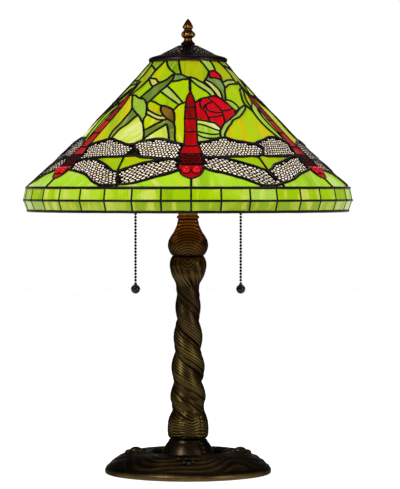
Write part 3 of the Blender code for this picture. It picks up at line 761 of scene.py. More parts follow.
# ---- regions between lines --------------------------------------------------------------------------
def regions(points, edges):
    """Cuts the plane along edges. Gives the points and, for each region between the edges, its triangles."""
    verts, pairs, triangles, _, sources, _ = delaunay_2d_cdt(points, edges, [], 0, 1e-5, True)
    fixed = {frozenset(pair) for pair, source in zip(pairs, sources) if source}
    beside = {}
    for index, (a, b, c) in enumerate(triangles):
        for pair in ((a, b), (b, c), (c, a)):
            beside.setdefault(frozenset(pair), []).append(index)
    found, seen = [], set()
    for start in range(len(triangles)):
        if start in seen:
            continue
        seen.add(start)
        group, front = [], [start]
        while front:
            index = front.pop()
            group.append(tuple(triangles[index]))
            a, b, c = triangles[index]
            for pair in (frozenset((a, b)), frozenset((b, c)), frozenset((c, a))):
                if pair in fixed:
                    continue
                for other in beside[pair]:
                    if other not in seen:
                        seen.add(other)
                        front.append(other)
        found.append(group)
    return verts, found


def closed_loops(loops):
    """Points and edges of several closed loops."""
    points, edges = [], []
    for loop in loops:
        start = len(points)
        points += loop
        edges += [(start + k, start + (k + 1) % len(loop)) for k in range(len(loop))]
    return points, edges


def holed(outline, openings):
    """Points of a sheet with openings, its own triangles, and the triangles of every region."""
    verts, groups = regions(*closed_loops([outline, *openings]))
    web = max(groups, key=lambda group: area_and_middle(verts, group)[0])
    return verts, web, groups


def area_and_middle(verts, group):
    total, middle = 0.0, Vector((0.0, 0.0))
    for a, b, c in group:
        area = abs((verts[b] - verts[a]).cross(verts[c] - verts[a])) / 2
        total += area
        middle += (verts[a] + verts[b] + verts[c]) / 3 * area
    return total, middle / max(total, 1e-12)


def rim_of(group):
    """The outline of a group of triangles, as one loop of point indices running the triangles' way round."""
    following = {}
    sides = {side for a, b, c in group for side in ((a, b), (b, c), (c, a))}
    for a, b in sides:
        if (b, a) not in sides:
            following[a] = b
    start = next(iter(following))
    loop = [start]
    while following[loop[-1]] != start and len(loop) <= len(following):
        loop.append(following[loop[-1]])
    return loop


def inside(point, polygon):
    crossings = False
    for a, b in zip(polygon, polygon[1:] + polygon[:1]):
        if (a.y > point.y) != (b.y > point.y):
            if point.x < a.x + (point.y - a.y) / (b.y - a.y) * (b.x - a.x):
                crossings = not crossings
    return crossings


# ---- panes ------------------------------------------------------------------------------------------
SINK = 1.1  # how far a pane may lie below the shade's curve, because each pane is flat
MARGIN = 190.0  # the lines are laid out this far to each side before the plane is cut
CRUMB = 0.3  # a region smaller than this, in degrees times percent, isn't a pane
TAIL_END = 46  # percent down, where the dragonflies' brighter glass begins
SHEET_SIZE = (900.0, 500.0)  # the part of a sheet that panes are cut from
SEAM = 0.01  # in degrees: keeps the middle of a body's pane off the seam between two periods
NEXT_SHEET = Vector((310.0, 170.0, 0.0))  # how far along its sheet the next period's glass is cut
STREAK_TILT = 0.35  # how far from downhill, in radians, the streaks of a piece tend to lie

# Glass in the pattern: (body colour, streak colour, share of streaks, panes as (degrees, percent)).
GLASS_KINDS = {
    "lime": (srgb(166, 200, 18), srgb(196, 206, 70), [(-37, 8), (-25, 80), (20, 79), (36, 79), (-34, 79)]),
    "olive_yellow": (srgb(178, 188, 36), srgb(150, 180, 40), [(9, 5), (43.5, 6)]),
    "meadow": (srgb(132, 166, 52), srgb(150, 176, 84), [(-25, 3), (-54, 2)]),
    "moss": (srgb(158, 172, 62), srgb(186, 194, 96), [(-54, 13), (57.5, 12)]),
    "straw": (srgb(208, 206, 118), srgb(222, 218, 150), [(-39, 17), (21, 22), (-24, 43)]),
    "dark_leaf": (srgb(104, 130, 60), srgb(82, 108, 52), [(-32.5, 24)]),
    "grey_leaf": (srgb(118, 148, 86), srgb(98, 128, 78), [(-11.5, 13.5), (29, 20)]),
    "bright": (
        srgb(168, 208, 0),
        srgb(186, 204, 40),
        [(-9.5, 22), (7, 24), (40.5, 26), (-47, 22), (-20, 32)],
    ),
    "pale_leaf": (
        srgb(182, 206, 112),
        srgb(160, 196, 92),
        [(-17, 28), (10, 19), (44, 17), (28, 4), (36.5, 41)],
    ),
    "amber": (srgb(190, 202, 24), srgb(206, 196, 40), [(-26.5, 37)]),
    "strip": (srgb(194, 210, 26), srgb(212, 214, 90), [(-5.5, 55), (-25, 48)]),
    "leaf": (srgb(164, 198, 90), srgb(140, 182, 62), [(-39, 36), (32, 35), (50.5, 28)]),
    "spring": (srgb(180, 212, 22), srgb(212, 206, 50), [(-50.5, 42), (38.5, 52)]),
    "olive": (srgb(112, 128, 62), srgb(132, 144, 70), [(-41, 50), (-10.5, 56), (-21, 54)]),
    "cream": (srgb(214, 228, 112), srgb(232, 236, 160), [(-33, 55), (-17, 58), (18, 56), (7, 63), (9, 51)]),
    "brown": (srgb(112, 82, 42), srgb(134, 106, 58), [(-15, 43)]),
    "fresh": (srgb(166, 206, 84), srgb(186, 214, 120), [(9, 55.5), (9, 59.5), (51.5, 45), (57.5, 45)]),
    "apple": (srgb(180, 226, 92), srgb(202, 222, 96), [(-48.5, 93), (-8.5, 95), (14, 95), (48.5, 95)]),
    "ruby": (
        srgb(216, 0, 22),
        srgb(190, 0, 14),
        [(29, 11), (6, 42), (12, 32.5), (24, 34), (16, 37.5), (15, 43.3), (16, 47.5), (26, 43), (23.5, 47.5)],
    ),
    "wing": (
        srgb(242, 228, 204),
        srgb(214, 190, 180),
        [(-12, 70), (-44, 70), (-15, 86), (-44, 84), (18, 70), (46, 70), (18, 84), (46, 84)],
    ),
    "tail": (srgb(138, 14, 14), srgb(110, 8, 10), []),
    "dragonfly": (srgb(174, 12, 16), srgb(140, 8, 12), []),
    "solder": (srgb(30, 22, 16), srgb(30, 22, 16), [(-25.5, 72), (-27, 73)]),
}
FALLBACK = "spring"
REDS = ("ruby", "tail", "dragonfly")
WISPS = {
    "lime": srgb(214, 190, 40),
    "amber": srgb(224, 146, 40),
    "apple": srgb(224, 222, 130),
    "spring": srgb(226, 184, 52),
    "cream": srgb(240, 242, 180),
    "strip": srgb(220, 224, 120),
    "wing": srgb(246, 238, 226),
    "ruby": srgb(226, 20, 30),
    "tail": srgb(160, 24, 20),
    "dragonfly": srgb(216, 30, 30),
    "brown": srgb(150, 116, 60),
}


class Pane:
    """One piece of glass: its kind, its triangles and its points on the shade."""

    def __init__(self, kind, triangles, flat_points, draw):
        self.kind = kind
        used = sorted({i for t in triangles for i in t})
        new = {old: k for k, old in enumerate(used)}
        self.triangles = [tuple(new[i] for i in t) for t in triangles]
        self.flat = [flat_points[i] for i in used]  # as (degrees, percent)
        self.seed = draw.random()
        self.lay = pi / 2 + draw.gauss(0.0, STREAK_TILT)
        surface = [shade_frame(*p) for p in self.flat]
        middle = sum((f[0] for f in surface), Vector()) / len(surface)
        normal = sum((f[1] for f in surface), Vector()).normalized()
        self.normal = normal
        self.floor = min((f[0] - middle).dot(normal) for f in surface) + middle.dot(normal)
        self.points = [self.seat(*p) for p in self.flat]

    def seat(self, angle, percent, proud=0.0):
        """A place on the flat pane, which is sunk below the shade's curve by SINK at most."""
        point = on_shade(angle, percent)
        sink = min(SINK, point.dot(self.normal) - self.floor)
        return point + self.normal * (proud - sink)

    def refine(self, outline, openings):
        """Gives the pane a corner at every corner of these loops, so that what lies on it can follow it."""
        verts, web, groups = holed(outline, openings)
        rest = [group for group in groups if group is not web]
        within = [g for g in rest if any(inside(area_and_middle(verts, g)[1], loop) for loop in openings)]
        self.triangles = web + [t for group in within for t in group]
        self.flat = list(verts)
        self.points = [self.seat(*p) for p in self.flat]

    def sheet_place(self, k):
        """Where a point lies on the sheet that the pane was cut from: along and across its streaks."""
        a, s = self.flat[k]
        x, y = a * degree_at(50), s * PERCENT
        c, d = cos(self.lay), sin(self.lay)
        return (
            x * c + y * d + self.seed * SHEET_SIZE[0],
            y * c - x * d + self.seed * SHEET_SIZE[1],
            self.seed,
        )


def cut_panes():
    lines = pattern_lines()
    points, edges = [], []

    def lay(path, shift=0.0):
        start = len(points)
        points.extend(Vector((p[0] + shift, p[1])) for p in path)
        edges.extend((k, k + 1) for k in range(start, len(points) - 1))

    for shift in (-PERIOD, 0.0, PERIOD):
        for path in lines.values():
            lay(path, shift)
    lay([(-MARGIN, 0), (MARGIN, 0), (MARGIN, 100), (-MARGIN, 100), (-MARGIN, 0)])
    verts, groups = regions(points, edges)
    draw = random.Random(11)
    panes = []
    for group in groups:
        area, middle = area_and_middle(verts, group)
        if area < CRUMB or not -HALF - SEAM <= middle.x < HALF - SEAM or not 0 < middle.y < 100:
            continue
        panes.append(Pane(kind_of(verts, group, middle), group, verts, draw))
    return lines, panes


def kind_of(verts, group, middle):
    if in_body(middle):
        return "tail" if middle.y < TAIL_END else "dragonfly"
    for kind, (_, _, seeds) in GLASS_KINDS.items():
        for seed in seeds:
            for shift in (-PERIOD, 0.0, PERIOD):
                at = Vector((seed[0] + shift, seed[1]))
                if any(in_triangle(at, *(verts[i] for i in t)) for t in group):
                    return kind
    return FALLBACK


def in_triangle(p, a, b, c):
    turns = [(q - p).cross(r - p) for q, r in ((a, b), (b, c), (c, a))]
    return min(turns) >= 0 or max(turns) <= 0


def pane_mesh(name, panes, material):
    """A mesh of flat panes with their thickness."""
    form, places = Form(), []
    for pane in panes:
        form.plate(pane.points, [p - pane.normal * GLASS for p in pane.points], pane.triangles)
        places += [pane.sheet_place(k) for k in range(len(pane.points))] * 2
    return form.mesh(name, material, places, soft=False)


def repeat_round(name, mesh, slot):
    """Three copies of a period's mesh, round the shade."""
    for k in range(REPEATS):
        turned = mesh.copy()
        turned.transform(Matrix.Rotation(radians(PERIOD * k), 4, "Z"))
        if "sheet" in turned.attributes:
            for place in turned.attributes["sheet"].data:
                place.vector = Vector(place.vector) + k * NEXT_SHEET
        add_piece(f"{name}_{k + 1}", turned, "shade", slot)


# ---- solder -----------------------------------------------------------------------------------------
SOLDER_SUNK = 0.15  # how far the middle of a solder line lies inside the glass
INNER_WIDTH = 0.9  # width of the lines inside the shade, over that of those outside


def solder_pattern(lines, material):
    """The solder lines on both faces of the glass, with blobs where they end."""
    for side, proud, scale in (("outside", -SOLDER_SUNK, 1.0), ("inside", SOLDER_SUNK - GLASS, INNER_WIDTH)):
        solder = Form(5)
        for name, path in lines.items():
            frames = [shade_frame(*p) for p in path]
            width = line_width(name) * scale
            solder.line([f[0] + f[1] * proud for f in frames], [f[1] for f in frames], width)
            for place, f in ((path[0], frames[0]), (path[-1], frames[-1])):
                if 1 < place.y < 99:
                    solder.blob(f[0] + f[1] * proud, f[1], width * solder.draw.uniform(1.05, 1.3))
        repeat_round(f"solder_{side}", solder.mesh(f"solder_{side}", material), "lead_came")


# ---- filigree ---------------------------------------------------------------------------------------
FILIGREE_PROUD, FILIGREE_SUNK = 0.2, 0.1
UPPER_CELL = (4.0, 4.5)  # length along the wing and height of one opening with its bar
LOWER_CELL = (5.8, 4.2)
WING_BAR = 0.38  # share of a cell that is bar
THORAX_CELL = (3.5, 3.7)
THORAX_BAR = 0.5
CELL_JITTER = 0.66
CELL_SEED = 1  # noise_vector would start from the clock without a seed
ROW_PITCH = 0.75  # spacing of the rows of cells over their height
EDGE_BAR = 0.4  # least width of the bar between an opening and the sheet's edge
LOWER_WINGS = 79  # percent down: the wings below have the longer cells
HEXAGON = ((0.5, 0.25), (0.0, 0.5), (-0.5, 0.25), (-0.5, -0.25), (0.0, -0.5), (0.5, -0.25))


def honeycomb(outline, cell, bar, seed):
    """Six-sided openings inside an outline of (degrees, percent) points, as lists of such points."""
    middle = sum(outline, Vector((0.0, 0.0))) / len(outline)
    across, down = degree_at(middle.y), PERCENT
    flat = [Vector(((p.x - middle.x) * across, (p.y - middle.y) * down)) for p in outline]
    spread = (sum(p.x * p.x - p.y * p.y for p in flat), sum(2 * p.x * p.y for p in flat))
    lie = Matrix.Rotation(atan2(spread[1], spread[0]) / 2, 2)  # the way the wing runs
    flat = [p @ lie for p in flat]
    low = Vector((min(p.x for p in flat), min(p.y for p in flat)))
    high = Vector((max(p.x for p in flat), max(p.y for p in flat)))
    width, height = cell
    openings = []
    for row in range(int((high.y - low.y) / (height * ROW_PITCH)) + 2):
        for column in range(int((high.x - low.x) / width) + 2):
            x = low.x + (column + 0.5 * (row % 2)) * width
            y = low.y + row * height * ROW_PITCH
            corners = []
            for dx, dy in HEXAGON:
                corner = Vector((x + dx * width, y + dy * height))
                sway = noise.noise_vector(Vector((corner.x * 0.5, corner.y * 0.5, seed)))
                corners.append(corner + Vector((sway.x * width, sway.y * height)) * CELL_JITTER)
            heart = sum(corners, Vector((0.0, 0.0))) / 6
            corners = [heart + (c - heart) * (1 - bar) for c in corners]
            if all(inside(c + (c - heart).normalized() * EDGE_BAR, flat) for c in corners):
                turned = [lie @ c for c in corners]
                openings.append([Vector((middle.x + c.x / across, middle.y + c.y / down)) for c in turned])
    return openings


def lay_sheet(form, outline, openings, seat, lifts=(FILIGREE_PROUD, -FILIGREE_SUNK)):
    """A pierced sheet. seat(degrees, percent, proud) is a place on what it lies on. lifts are its faces."""
    verts, web, _ = holed(outline, openings)
    used = sorted({i for t in web for i in t})
    new = {old: k for k, old in enumerate(used)}
    top, bottom = ([seat(*verts[i], lift) for i in used] for lift in lifts)
    form.plate(top, bottom, [tuple(new[i] for i in t) for t in web])


def filigree(panes, material):
    """The pierced sheets on the wings and on the dragonflies' chests."""
    noise.seed_set(CELL_SEED)
    form = Form()
    for number, pane in enumerate(panes):
        if pane.kind != "wing":
            continue
        outline = [pane.flat[i] for i in rim_of(pane.triangles)]
        cell = LOWER_CELL if sum(p.y for p in outline) / len(outline) > LOWER_WINGS else UPPER_CELL
        openings = honeycomb(outline, cell, WING_BAR, number)
        lay_sheet(form, outline, openings, pane.seat)
        pane.refine(outline, openings)
    for middle in (0.0, -HALF):
        top, bottom = THORAX
        band = [top + (bottom - top) * k / 6 for k in range(7)]
        outline = [Vector((middle + body_half_width(s), s)) for s in band]
        outline += [Vector((middle - body_half_width(s), s)) for s in reversed(band)]
        lay_sheet(form, outline, honeycomb(outline, THORAX_CELL, THORAX_BAR, 50), on_shade)
    repeat_round("filigree", form.mesh("filigree", material, soft=False), "wing_filigree")


# ---- eyes -------------------------------------------------------------------------------------------
EYE_SIZE = (5.2, 5.0, 4.3)  # half width, half length and height of a jewel
EYE_SUNK = 0.3
EYE_RINGS, EYE_SIDES = 7, 16
SETTING_GAP, SETTING_WIDTH, SETTING_RISE = 0.3, 0.75, 1.2
SETTING_POINTS = 20


def eyes(jewel, lead):
    """Domed jewels, each in a ring of lead."""
    wide, long, tall = EYE_SIZE
    jewels, settings = Form(), Form(3)
    for middle in (0.0, -HALF):
        for a, s in EYES:
            point, normal, right, downhill = shade_frame(middle + a, s)
            rings = []
            for ring in range(EYE_RINGS):
                lift = pi / 2 * ring / EYE_RINGS
                flat = [right * (cos(t) * wide) + downhill * (sin(t) * long) for t in once_round(EYE_SIDES)]
                rings.append([point + p * cos(lift) + normal * (sin(lift) * tall - EYE_SUNK) for p in flat])
            jewels.loft(rings, (point - normal * EYE_SUNK, point + normal * (tall - EYE_SUNK)))
            loop = [
                point
                + right * (cos(t) * (wide + SETTING_GAP))
                + downhill * (sin(t) * (long + SETTING_GAP))
                for t in once_round(SETTING_POINTS)
            ]
            settings.line(loop, [normal] * SETTING_POINTS, SETTING_WIDTH, SETTING_RISE, closed=True)
    repeat_round("eye_jewels", jewels.mesh("eye_jewels", jewel), "red_glass")
    repeat_round("eye_settings", settings.mesh("eye_settings", lead), "lead_came")


# ---- border -----------------------------------------------------------------------------------------
TILE_SPREAD = 15  # how much of the sheet's pattern a tile shows from side to side
TILE_SHEET = (900, 300)  # the part of a sheet that tiles are cut from
TILE_GAP = 0.35  # in degrees, hidden under the lead between two tiles
BORDER_LEAD = 1.5
OUTER_RING, GIRTH_RING, CROSS_LEAD = 1.15, 0.9, 0.74  # widths of the border's leads over BORDER_LEAD
RING_STEPS = 4  # points of a ring of lead for each tile
CROSS_STEPS = 5
ROWS = (("upper", FIELD_BOTTOM, GIRTH), ("lower", GIRTH, RIM))


def round_point(angle, ring, depth=0.0):
    return round_at(ring[0] - depth, radians(angle + SHADE_TURN - 90.0), ring[1])


def away_from_axis(point):
    return Vector((point.x, point.y, 0.0)).normalized()


def tile_row(name, upper, lower, material, draw):
    form, places = Form(), []
    for k in range(TILES):
        left, right = k * TILE + TILE_GAP, (k + 1) * TILE - TILE_GAP
        corners = [round_point(left, upper), round_point(right, upper)]
        corners += [round_point(right, lower), round_point(left, lower)]
        a, b, c, d = corners
        normal = (c - a).cross(d - b).normalized()
        normal = normal if normal.dot(away_from_axis(a + b)) > 0 else -normal
        form.plate(corners, [p - normal * GLASS for p in corners], [(0, 1, 2, 3)])
        seed, height = draw.random(), (a - d).length
        x, y = seed * TILE_SHEET[0], seed * TILE_SHEET[1]
        places += [
            (x, y, seed),
            (x, y + TILE_SPREAD, seed),
            (x + height, y + TILE_SPREAD, seed),
            (x + height, y, seed),
        ] * 2
    mesh = form.mesh(f"border_glass_{name}", material, places, soft=False)
    add_piece(f"border_glass_{name}", mesh, "shade", "green_glass")


def border(kinds, lead):
    """The two rows of tiles round the mouth of the shade, with the leads between them."""
    draw = random.Random(29)
    for name, upper, lower in ROWS:
        tile_row(name, upper, lower, kinds[name], draw)
    solder = Form(7)
    for depth in (SOLDER_SUNK, GLASS - SOLDER_SUNK):
        for ring, width in ((FIELD_BOTTOM, OUTER_RING), (GIRTH, GIRTH_RING), (RIM, OUTER_RING)):
            loop = [round_point(k * TILE / RING_STEPS, ring, depth) for k in range(TILES * RING_STEPS)]
            solder.line(loop, [away_from_axis(p) for p in loop], BORDER_LEAD * width, closed=True)
        for _, upper, lower in ROWS:
            for k in range(TILES):
                a, b = round_point(k * TILE, upper, depth), round_point(k * TILE, lower, depth)
                out = away_from_axis(a)
                path = [a + (b - a) * j / CROSS_STEPS for j in range(CROSS_STEPS + 1)]
                solder.line(path, [out] * len(path), BORDER_LEAD * CROSS_LEAD)
                solder.blob(path[0], out, BORDER_LEAD * solder.draw.uniform(1.15, 1.4))
                solder.blob(path[-1], out, BORDER_LEAD * solder.draw.uniform(1.0, 1.3))
    add_piece("border_leads", solder.mesh("border_leads", lead), "shade", "lead_came")


# ---- glass and lead materials -----------------------------------------------------------------------
GLOW = 0.6  # the bulbs are lit: how strongly glass shines by itself
WING_GLOW = 1.0
FRONT_LIT = 0.32  # share of its colour that glass shows by light from outside
DEEP = 0.76  # the darkest streaks over the glass's own colour
VIVID = 1.14  # saturation of the glass


def glass_material(name, body, streak, wisp=None, glow=GLOW):
    """Streaky sheet glass, lit from behind: broad streaks of one colour, and thin wisps of another."""
    material, make = new_material(name)
    sheet = make.stored("sheet")
    broad = make.noise(make.scaled(sheet, (0.010, 0.055, 4.0)), detail=3.0, twist=0.5)
    thin = make.noise(make.scaled(sheet, (0.018, 0.16, 9.0), (7.0, 3.0, 0.0)), detail=4.0, rough=0.6)
    deep = tuple(v * DEEP for v in body)
    tone = make.ramp(broad, (0.3, deep), (0.45, body), (0.54, body), (0.66, streak))
    tone = make.mix(
        make.grey_ramp(thin, (0.5, 0.0), (0.66, 0.85)), tone, wisp or mixed(streak, (0.8, 0.8, 0.3), 0.25)
    )
    vivid = make.new("ShaderNodeHueSaturation")
    vivid.inputs["Saturation"].default_value = VIVID
    make.link(tone, vivid.inputs["Color"])
    tone = vivid.outputs["Color"]
    front = make.mix(1.0, tone, (FRONT_LIT, FRONT_LIT, FRONT_LIT), "MULTIPLY")
    ripple = make.noise(make.scaled(sheet, (0.05, 0.16, 2.0)), detail=3.0)
    make.shader(Base_Color=front, Roughness=0.2, Specular_IOR_Level=0.14, Normal=make.bump(ripple, 0.9))
    make.shader(Emission_Color=tone, Emission_Strength=glow)
    return material


def lead_material(name, rubbed=srgb(36, 27, 21), specular=0.1):
    """Solder under a near-black brown patina, rubbed a little brighter in patches."""
    material, make = new_material(name)
    place = make.place()
    grain = make.noise(place, scale=260.0, detail=4.0)
    wear = make.noise(place, scale=55.0, detail=3.0, rough=0.6)
    tone = make.ramp(wear, (0.35, srgb(5, 3, 2)), (0.68, srgb(10, 6, 5)), (0.88, rubbed))
    gloss = make.grey_ramp(grain, (0.3, 0.3), (0.7, 0.48))
    make.shader(Base_Color=tone, Roughness=gloss, Specular_IOR_Level=specular, Normal=make.bump(grain, 0.12))
    return material


def build_shade():
    lead = lead_material("lead_patina")
    lines, panes = cut_panes()
    filigree(panes, lead_material("filigree_patina", srgb(26, 16, 12), 0.03))
    for kind, (body, streak, _) in GLASS_KINDS.items():
        chosen = [pane for pane in panes if pane.kind == kind]
        glow = WING_GLOW if kind == "wing" else GLOW
        glass, slot = lead, "lead_came"
        if kind != "solder":
            glass = glass_material(f"glass_{kind}", body, streak, WISPS.get(kind), glow)
            slot = "red_glass" if kind in REDS else "green_glass"
        repeat_round(f"glass_{kind}", pane_mesh(f"glass_{kind}", chosen, glass), slot)
    solder_pattern(lines, lead)
    eyes(glass_material("eye_jewel", srgb(216, 6, 30), srgb(170, 0, 16)), lead)
    tiles = {
        "upper": glass_material("tile_upper", srgb(158, 197, 42), srgb(182, 212, 92), srgb(208, 218, 120)),
        # painted shade: the lower row's green is darker, as that row tilts inward and gets less light
        "lower": glass_material("tile_lower_painted_shade", srgb(134, 164, 32), srgb(166, 184, 82), srgb(194, 198, 104)),
    }
    border(tiles, lead)


# ---- metal finishes ---------------------------------------------------------------------------------
EDGE_PAINTED_SHADE = (0.03, 0.025, 0.02, 1.0)  # painted shade: metal is kept dark where it is seen edge on


def patina(name, groove, flat, crest, rough=(0.26, 0.42), tint=None):
    """Cast metal, dark in its grooves and rubbed bright on its crests. A piece carries its relief as "wear".
    tint is (z in metres, colour) stops going up, multiplied into the metal. On the vase and the neck these
    stops are painted light and shade."""
    material, make = new_material(name)
    place = make.place()
    mottle = make.noise(place, scale=34.0, detail=4.0, rough=0.6)
    pits = make.noise(place, scale=420.0, detail=3.0)
    relief = make.new("ShaderNodeAttribute", attribute_name="wear").outputs["Fac"]
    height = make.math("ADD", relief, make.math("MULTIPLY_ADD", mottle, 0.6, -0.3))
    tone = make.ramp(height, (0.12, groove), (0.46, flat), (0.76, mixed(flat, crest, 0.45)), (1.0, crest))
    if tint:
        low, high = tint[0][0], tint[-1][0]
        split = make.new("ShaderNodeSeparateXYZ")
        make.link(place, split.inputs["Vector"])
        share = make.math("MULTIPLY_ADD", split.outputs["Z"], 1 / (high - low), -low / (high - low))
        stops = [((z - low) / (high - low), colour) for z, colour in tint]
        tone = make.mix(1.0, tone, make.ramp(share, *stops), "MULTIPLY")
    gloss = make.grey_ramp(mottle, (0.3, rough[0]), (0.7, rough[1]))
    # painted shade at the metal's edges, from the dark specular tint
    make.shader(Base_Color=tone, Metallic=0.92, Specular_Tint=EDGE_PAINTED_SHADE, Roughness=gloss)
    make.shader(Normal=make.bump(pits, 0.12))
    return material


def plain_metal(name, dark, light, rough, streaks=(900.0, 900.0, 60.0)):
    """Turned or drawn metal with fine tool marks."""
    material, make = new_material(name)
    place = make.place()
    lines = make.noise(make.scaled(place, streaks), detail=3.0)
    cloud = make.noise(place, scale=40.0, detail=3.0)
    gloss = make.grey_ramp(lines, (0.3, rough - 0.07), (0.7, rough + 0.09))
    make.shader(Base_Color=make.ramp(cloud, (0.3, dark), (0.7, light)), Roughness=gloss, Metallic=1.0)
    make.shader(Normal=make.bump(lines, 0.05))
    return material


# ---- surfaces ---------------------------------------------------------------------------------------
def along(points, t):
    """A point part of the way along an outline of (a, b) points, at even steps of its length."""
    lengths = [hypot(q[0] - p[0], q[1] - p[1]) for p, q in zip(points, points[1:])]
    left = t * sum(lengths)
    for p, q, length in zip(points, points[1:], lengths):
        if left <= length or q is points[-1]:
            share = min(1.0, left / length)
            return p[0] + (q[0] - p[0]) * share, p[1] + (q[1] - p[1]) * share
        left -= length


def bump_at(x, middle, width):
    """A smooth hump from 0 to 1 and back, width wide."""
    away = abs(x - middle) / (width / 2)
    return cos(away * pi / 2) ** 2 if away < 1 else 0.0


def step_up(x, low, high):
    t = max(0.0, min(1.0, (x - low) / (high - low)))
    return t * t * (3 - 2 * t)


# ---- column -----------------------------------------------------------------------------------------
PITCH = 75.8  # one full turn of the column's two strands
WAIST_Z = 75.8
LOW_Z, HIGH_Z = foot_of("column_casting"), top_of("column_casting")
ROPE_HIGH = 222.0  # where the strands begin to fade
COLUMN = [
    (20.4, 42.3), (23.2, 44.0), (24.9, 47.5), (25.4, 54.0), (25.0, 62.0), (23.8, 68.0), (21.8, 72.5),
    (19.6, 77.0), (19.6, 81.0), (20.6, 86.0), (21.9, 95.0), (20.4, 135.0), (17.8, 170.0), (15.5, 208.0),
    (14.6, 218.0), (13.9, 225.0), (13.7, 230.5), (14.7, 235.0), (17.2, 239.2), (19.6, 244.0), (21.4, 249.5),
    (22.6, 254.5), (22.8, 258.0), (22.2, 262.0), (20.9, 266.0), (19.4, 268.5),
]  # fmt: skip
RIDGE, RIBBON_EDGE = 0.6, 1.3  # height of a fine ridge and depth of the line beside a ribbon
RIDGES = 8  # in a strand
WRAP_TOP, WRAP_PITCH = 73.0, 3.35  # the binding at the foot
LACE_ANGLE = radians(-90 + 37)
LACE_ROWS, LACE_LOW, LACE_PITCH, LACE_SPREAD = 6, 47.0, 4.6, 0.085
COLUMN_CURVE = smooth_outline(COLUMN, 5)
FOLD_Z, FOLD_PITCH = 267.0, 3.1  # the folds that hang from the top of the column at its front


@lru_cache(maxsize=None)
def column_section(z):
    """(radius of each strand, distance of its centre from the axis)."""
    for p, q in zip(COLUMN_CURVE, COLUMN_CURVE[1:]):
        if z <= q[1]:
            break
    widest = p[0] + (q[0] - p[0]) * (z - p[1]) / (q[1] - p[1])
    offset = (5.0 - (z - 95.0) * 0.013) * step_up(z, 76.0, 92.0) * (1 - step_up(z, 212.0, 230.0))
    return widest - offset, offset


def nearest_way(angle):
    """An angle in radians as its nearest way round, from -pi to pi."""
    return (angle + pi) % (2 * pi) - pi


def ribbon_at(z, groove):
    """(middle, width) of the smooth ribbon in a groove, in millimetres up from the groove."""
    if not groove:
        return 2.5 - 6.0 * (z - 97) / 73, max(6.0, 17.5 - 10.5 * (z - 97) / 73)
    return 5.0 - 4.2 * (z - 136) / 73, max(6.0, 9.0 + 3.0 * (z - 136) / 73)


def rope_relief(z, angle, drift):
    """(relief in millimetres, wear) of the ribbons and fine ridges that wind up the column."""
    grooves = (angle + 2 * pi * (drift - WAIST_Z) / PITCH) / pi  # whole at the grooves
    nearest = round(grooves)
    above = (grooves - nearest) * PITCH / 2
    middle, width = ribbon_at(z, nearest % 2)
    edge = abs(above - middle) - width / 2
    line = max(0.0, 1 - abs(edge) / 1.5)
    if edge < 0:
        relief, rub = 0.9 * cos(pi * (above - middle) / width) + 0.2, 0.62
    else:
        run = (above - middle - width / 2) % (PITCH / 2)
        ripple = abs(sin(pi * RIDGES * run / (PITCH / 2 - width) + 0.35 * sin(z * 0.11 + angle)))
        relief, rub = RIDGE * (ripple - 0.5), ripple
    return relief - RIBBON_EDGE * line, rub * (1 - line)


def column_place(u, v):
    """The rope-twist, with the binding at its foot and the folds that hang from its top."""
    angle, z = 2 * pi * u, LOW_Z + (HIGH_Z - LOW_Z) * v
    strand, offset = column_section(z)
    drift = z if z < ROPE_HIGH else ROPE_HIGH + 17 * (1 - exp(-(z - ROPE_HIGH) / 17))
    twist = angle + 2 * pi * (z - WAIST_Z) / PITCH + pi / 2
    radius = abs(cos(twist)) * offset + sqrt(strand**2 - (sin(twist) * offset) ** 2)
    relief, rub = rope_relief(z, angle, drift)
    across = nearest_way(angle + pi / 2)
    apart = hypot(across * radius, (z - FOLD_Z) * 0.8)
    nest = abs(sin(pi * apart / FOLD_PITCH))
    fold = abs(sin(8 * (angle + 2 * pi * drift / PITCH) + 0.8 * sin(3 * angle)))
    fold += (nest - fold) * (1 - step_up(apart, 10.0, 15.0)) * (1 - step_up(abs(across), 1.2, 1.6))
    slack = 2.4 * sin(angle + 0.9) + 1.3 * sin(angle * 4 + 0.12 * z) + 0.7 * sin(angle * 9 + 1)
    coil = abs(sin(pi * (z + slack) / WRAP_PITCH))

    rope = step_up(z, WRAP_TOP - 9, WRAP_TOP) * (1 - step_up(z, ROPE_HIGH + 12, ROPE_HIGH + 30))
    drape = step_up(z, ROPE_HIGH + 8, ROPE_HIGH + 24) * (1 - step_up(z, HIGH_Z - 5, HIGH_Z))
    wrap = 1 - step_up(z, WRAP_TOP - 9, WRAP_TOP)
    radius += relief * rope + 0.6 * (fold - 0.5) * drape + 0.8 * (coil - 0.6) * wrap
    wear = rub * rope + (0.42 + 0.4 * fold) * drape + coil * wrap + 0.4 * max(0.0, 1 - rope - drape - wrap)
    return round_at(radius, angle, z), wear * 0.85


def column(bronze):
    mesh = skin("column", column_place, 180, 250, bronze)
    add_piece("column", mesh, "stand", "cast_bronze")
    lace = Form()
    for row in range(LACE_ROWS):
        z = LACE_LOW + LACE_PITCH * row
        radius = sum(column_section(z)) + 0.5
        for side, size in ((-1, 1.3), (1, 1.7)):
            lace.ball(round_at(radius, LACE_ANGLE + side * LACE_SPREAD, z), size, wear=0.9)
    add_piece("column_lacing", lace.mesh("column_lacing", bronze), "stand", "cast_bronze")


# ---- vase and neck ----------------------------------------------------------------------------------
VASE = [
    (18.9, 268.7), (20.2, 269.8), (22.3, 272.8), (23.9, 276.6), (24.9, 281.5), (24.0, 287.2), (21.6, 292.2),
    (18.9, 296.4), (16.7, 300.0), (15.0, 303.6), (13.7, 307.6), (12.8, 311.4), (12.3, 314.2),
]  # fmt: skip
VASE_RIDGE, VASE_PITCH = 0.45, 3.5
ARCH_DROP = 33  # how far the grooves hang
NECK = [
    (12.2, 314.25), (13.4, 315.0), (14.0, 316.4), (13.5, 317.8), (12.2, 318.6), (12.0, 319.6), (12.1, 326.0),
    (12.1, 334.0), (12.1, 337.2), (11.6, 338.0),
]  # fmt: skip


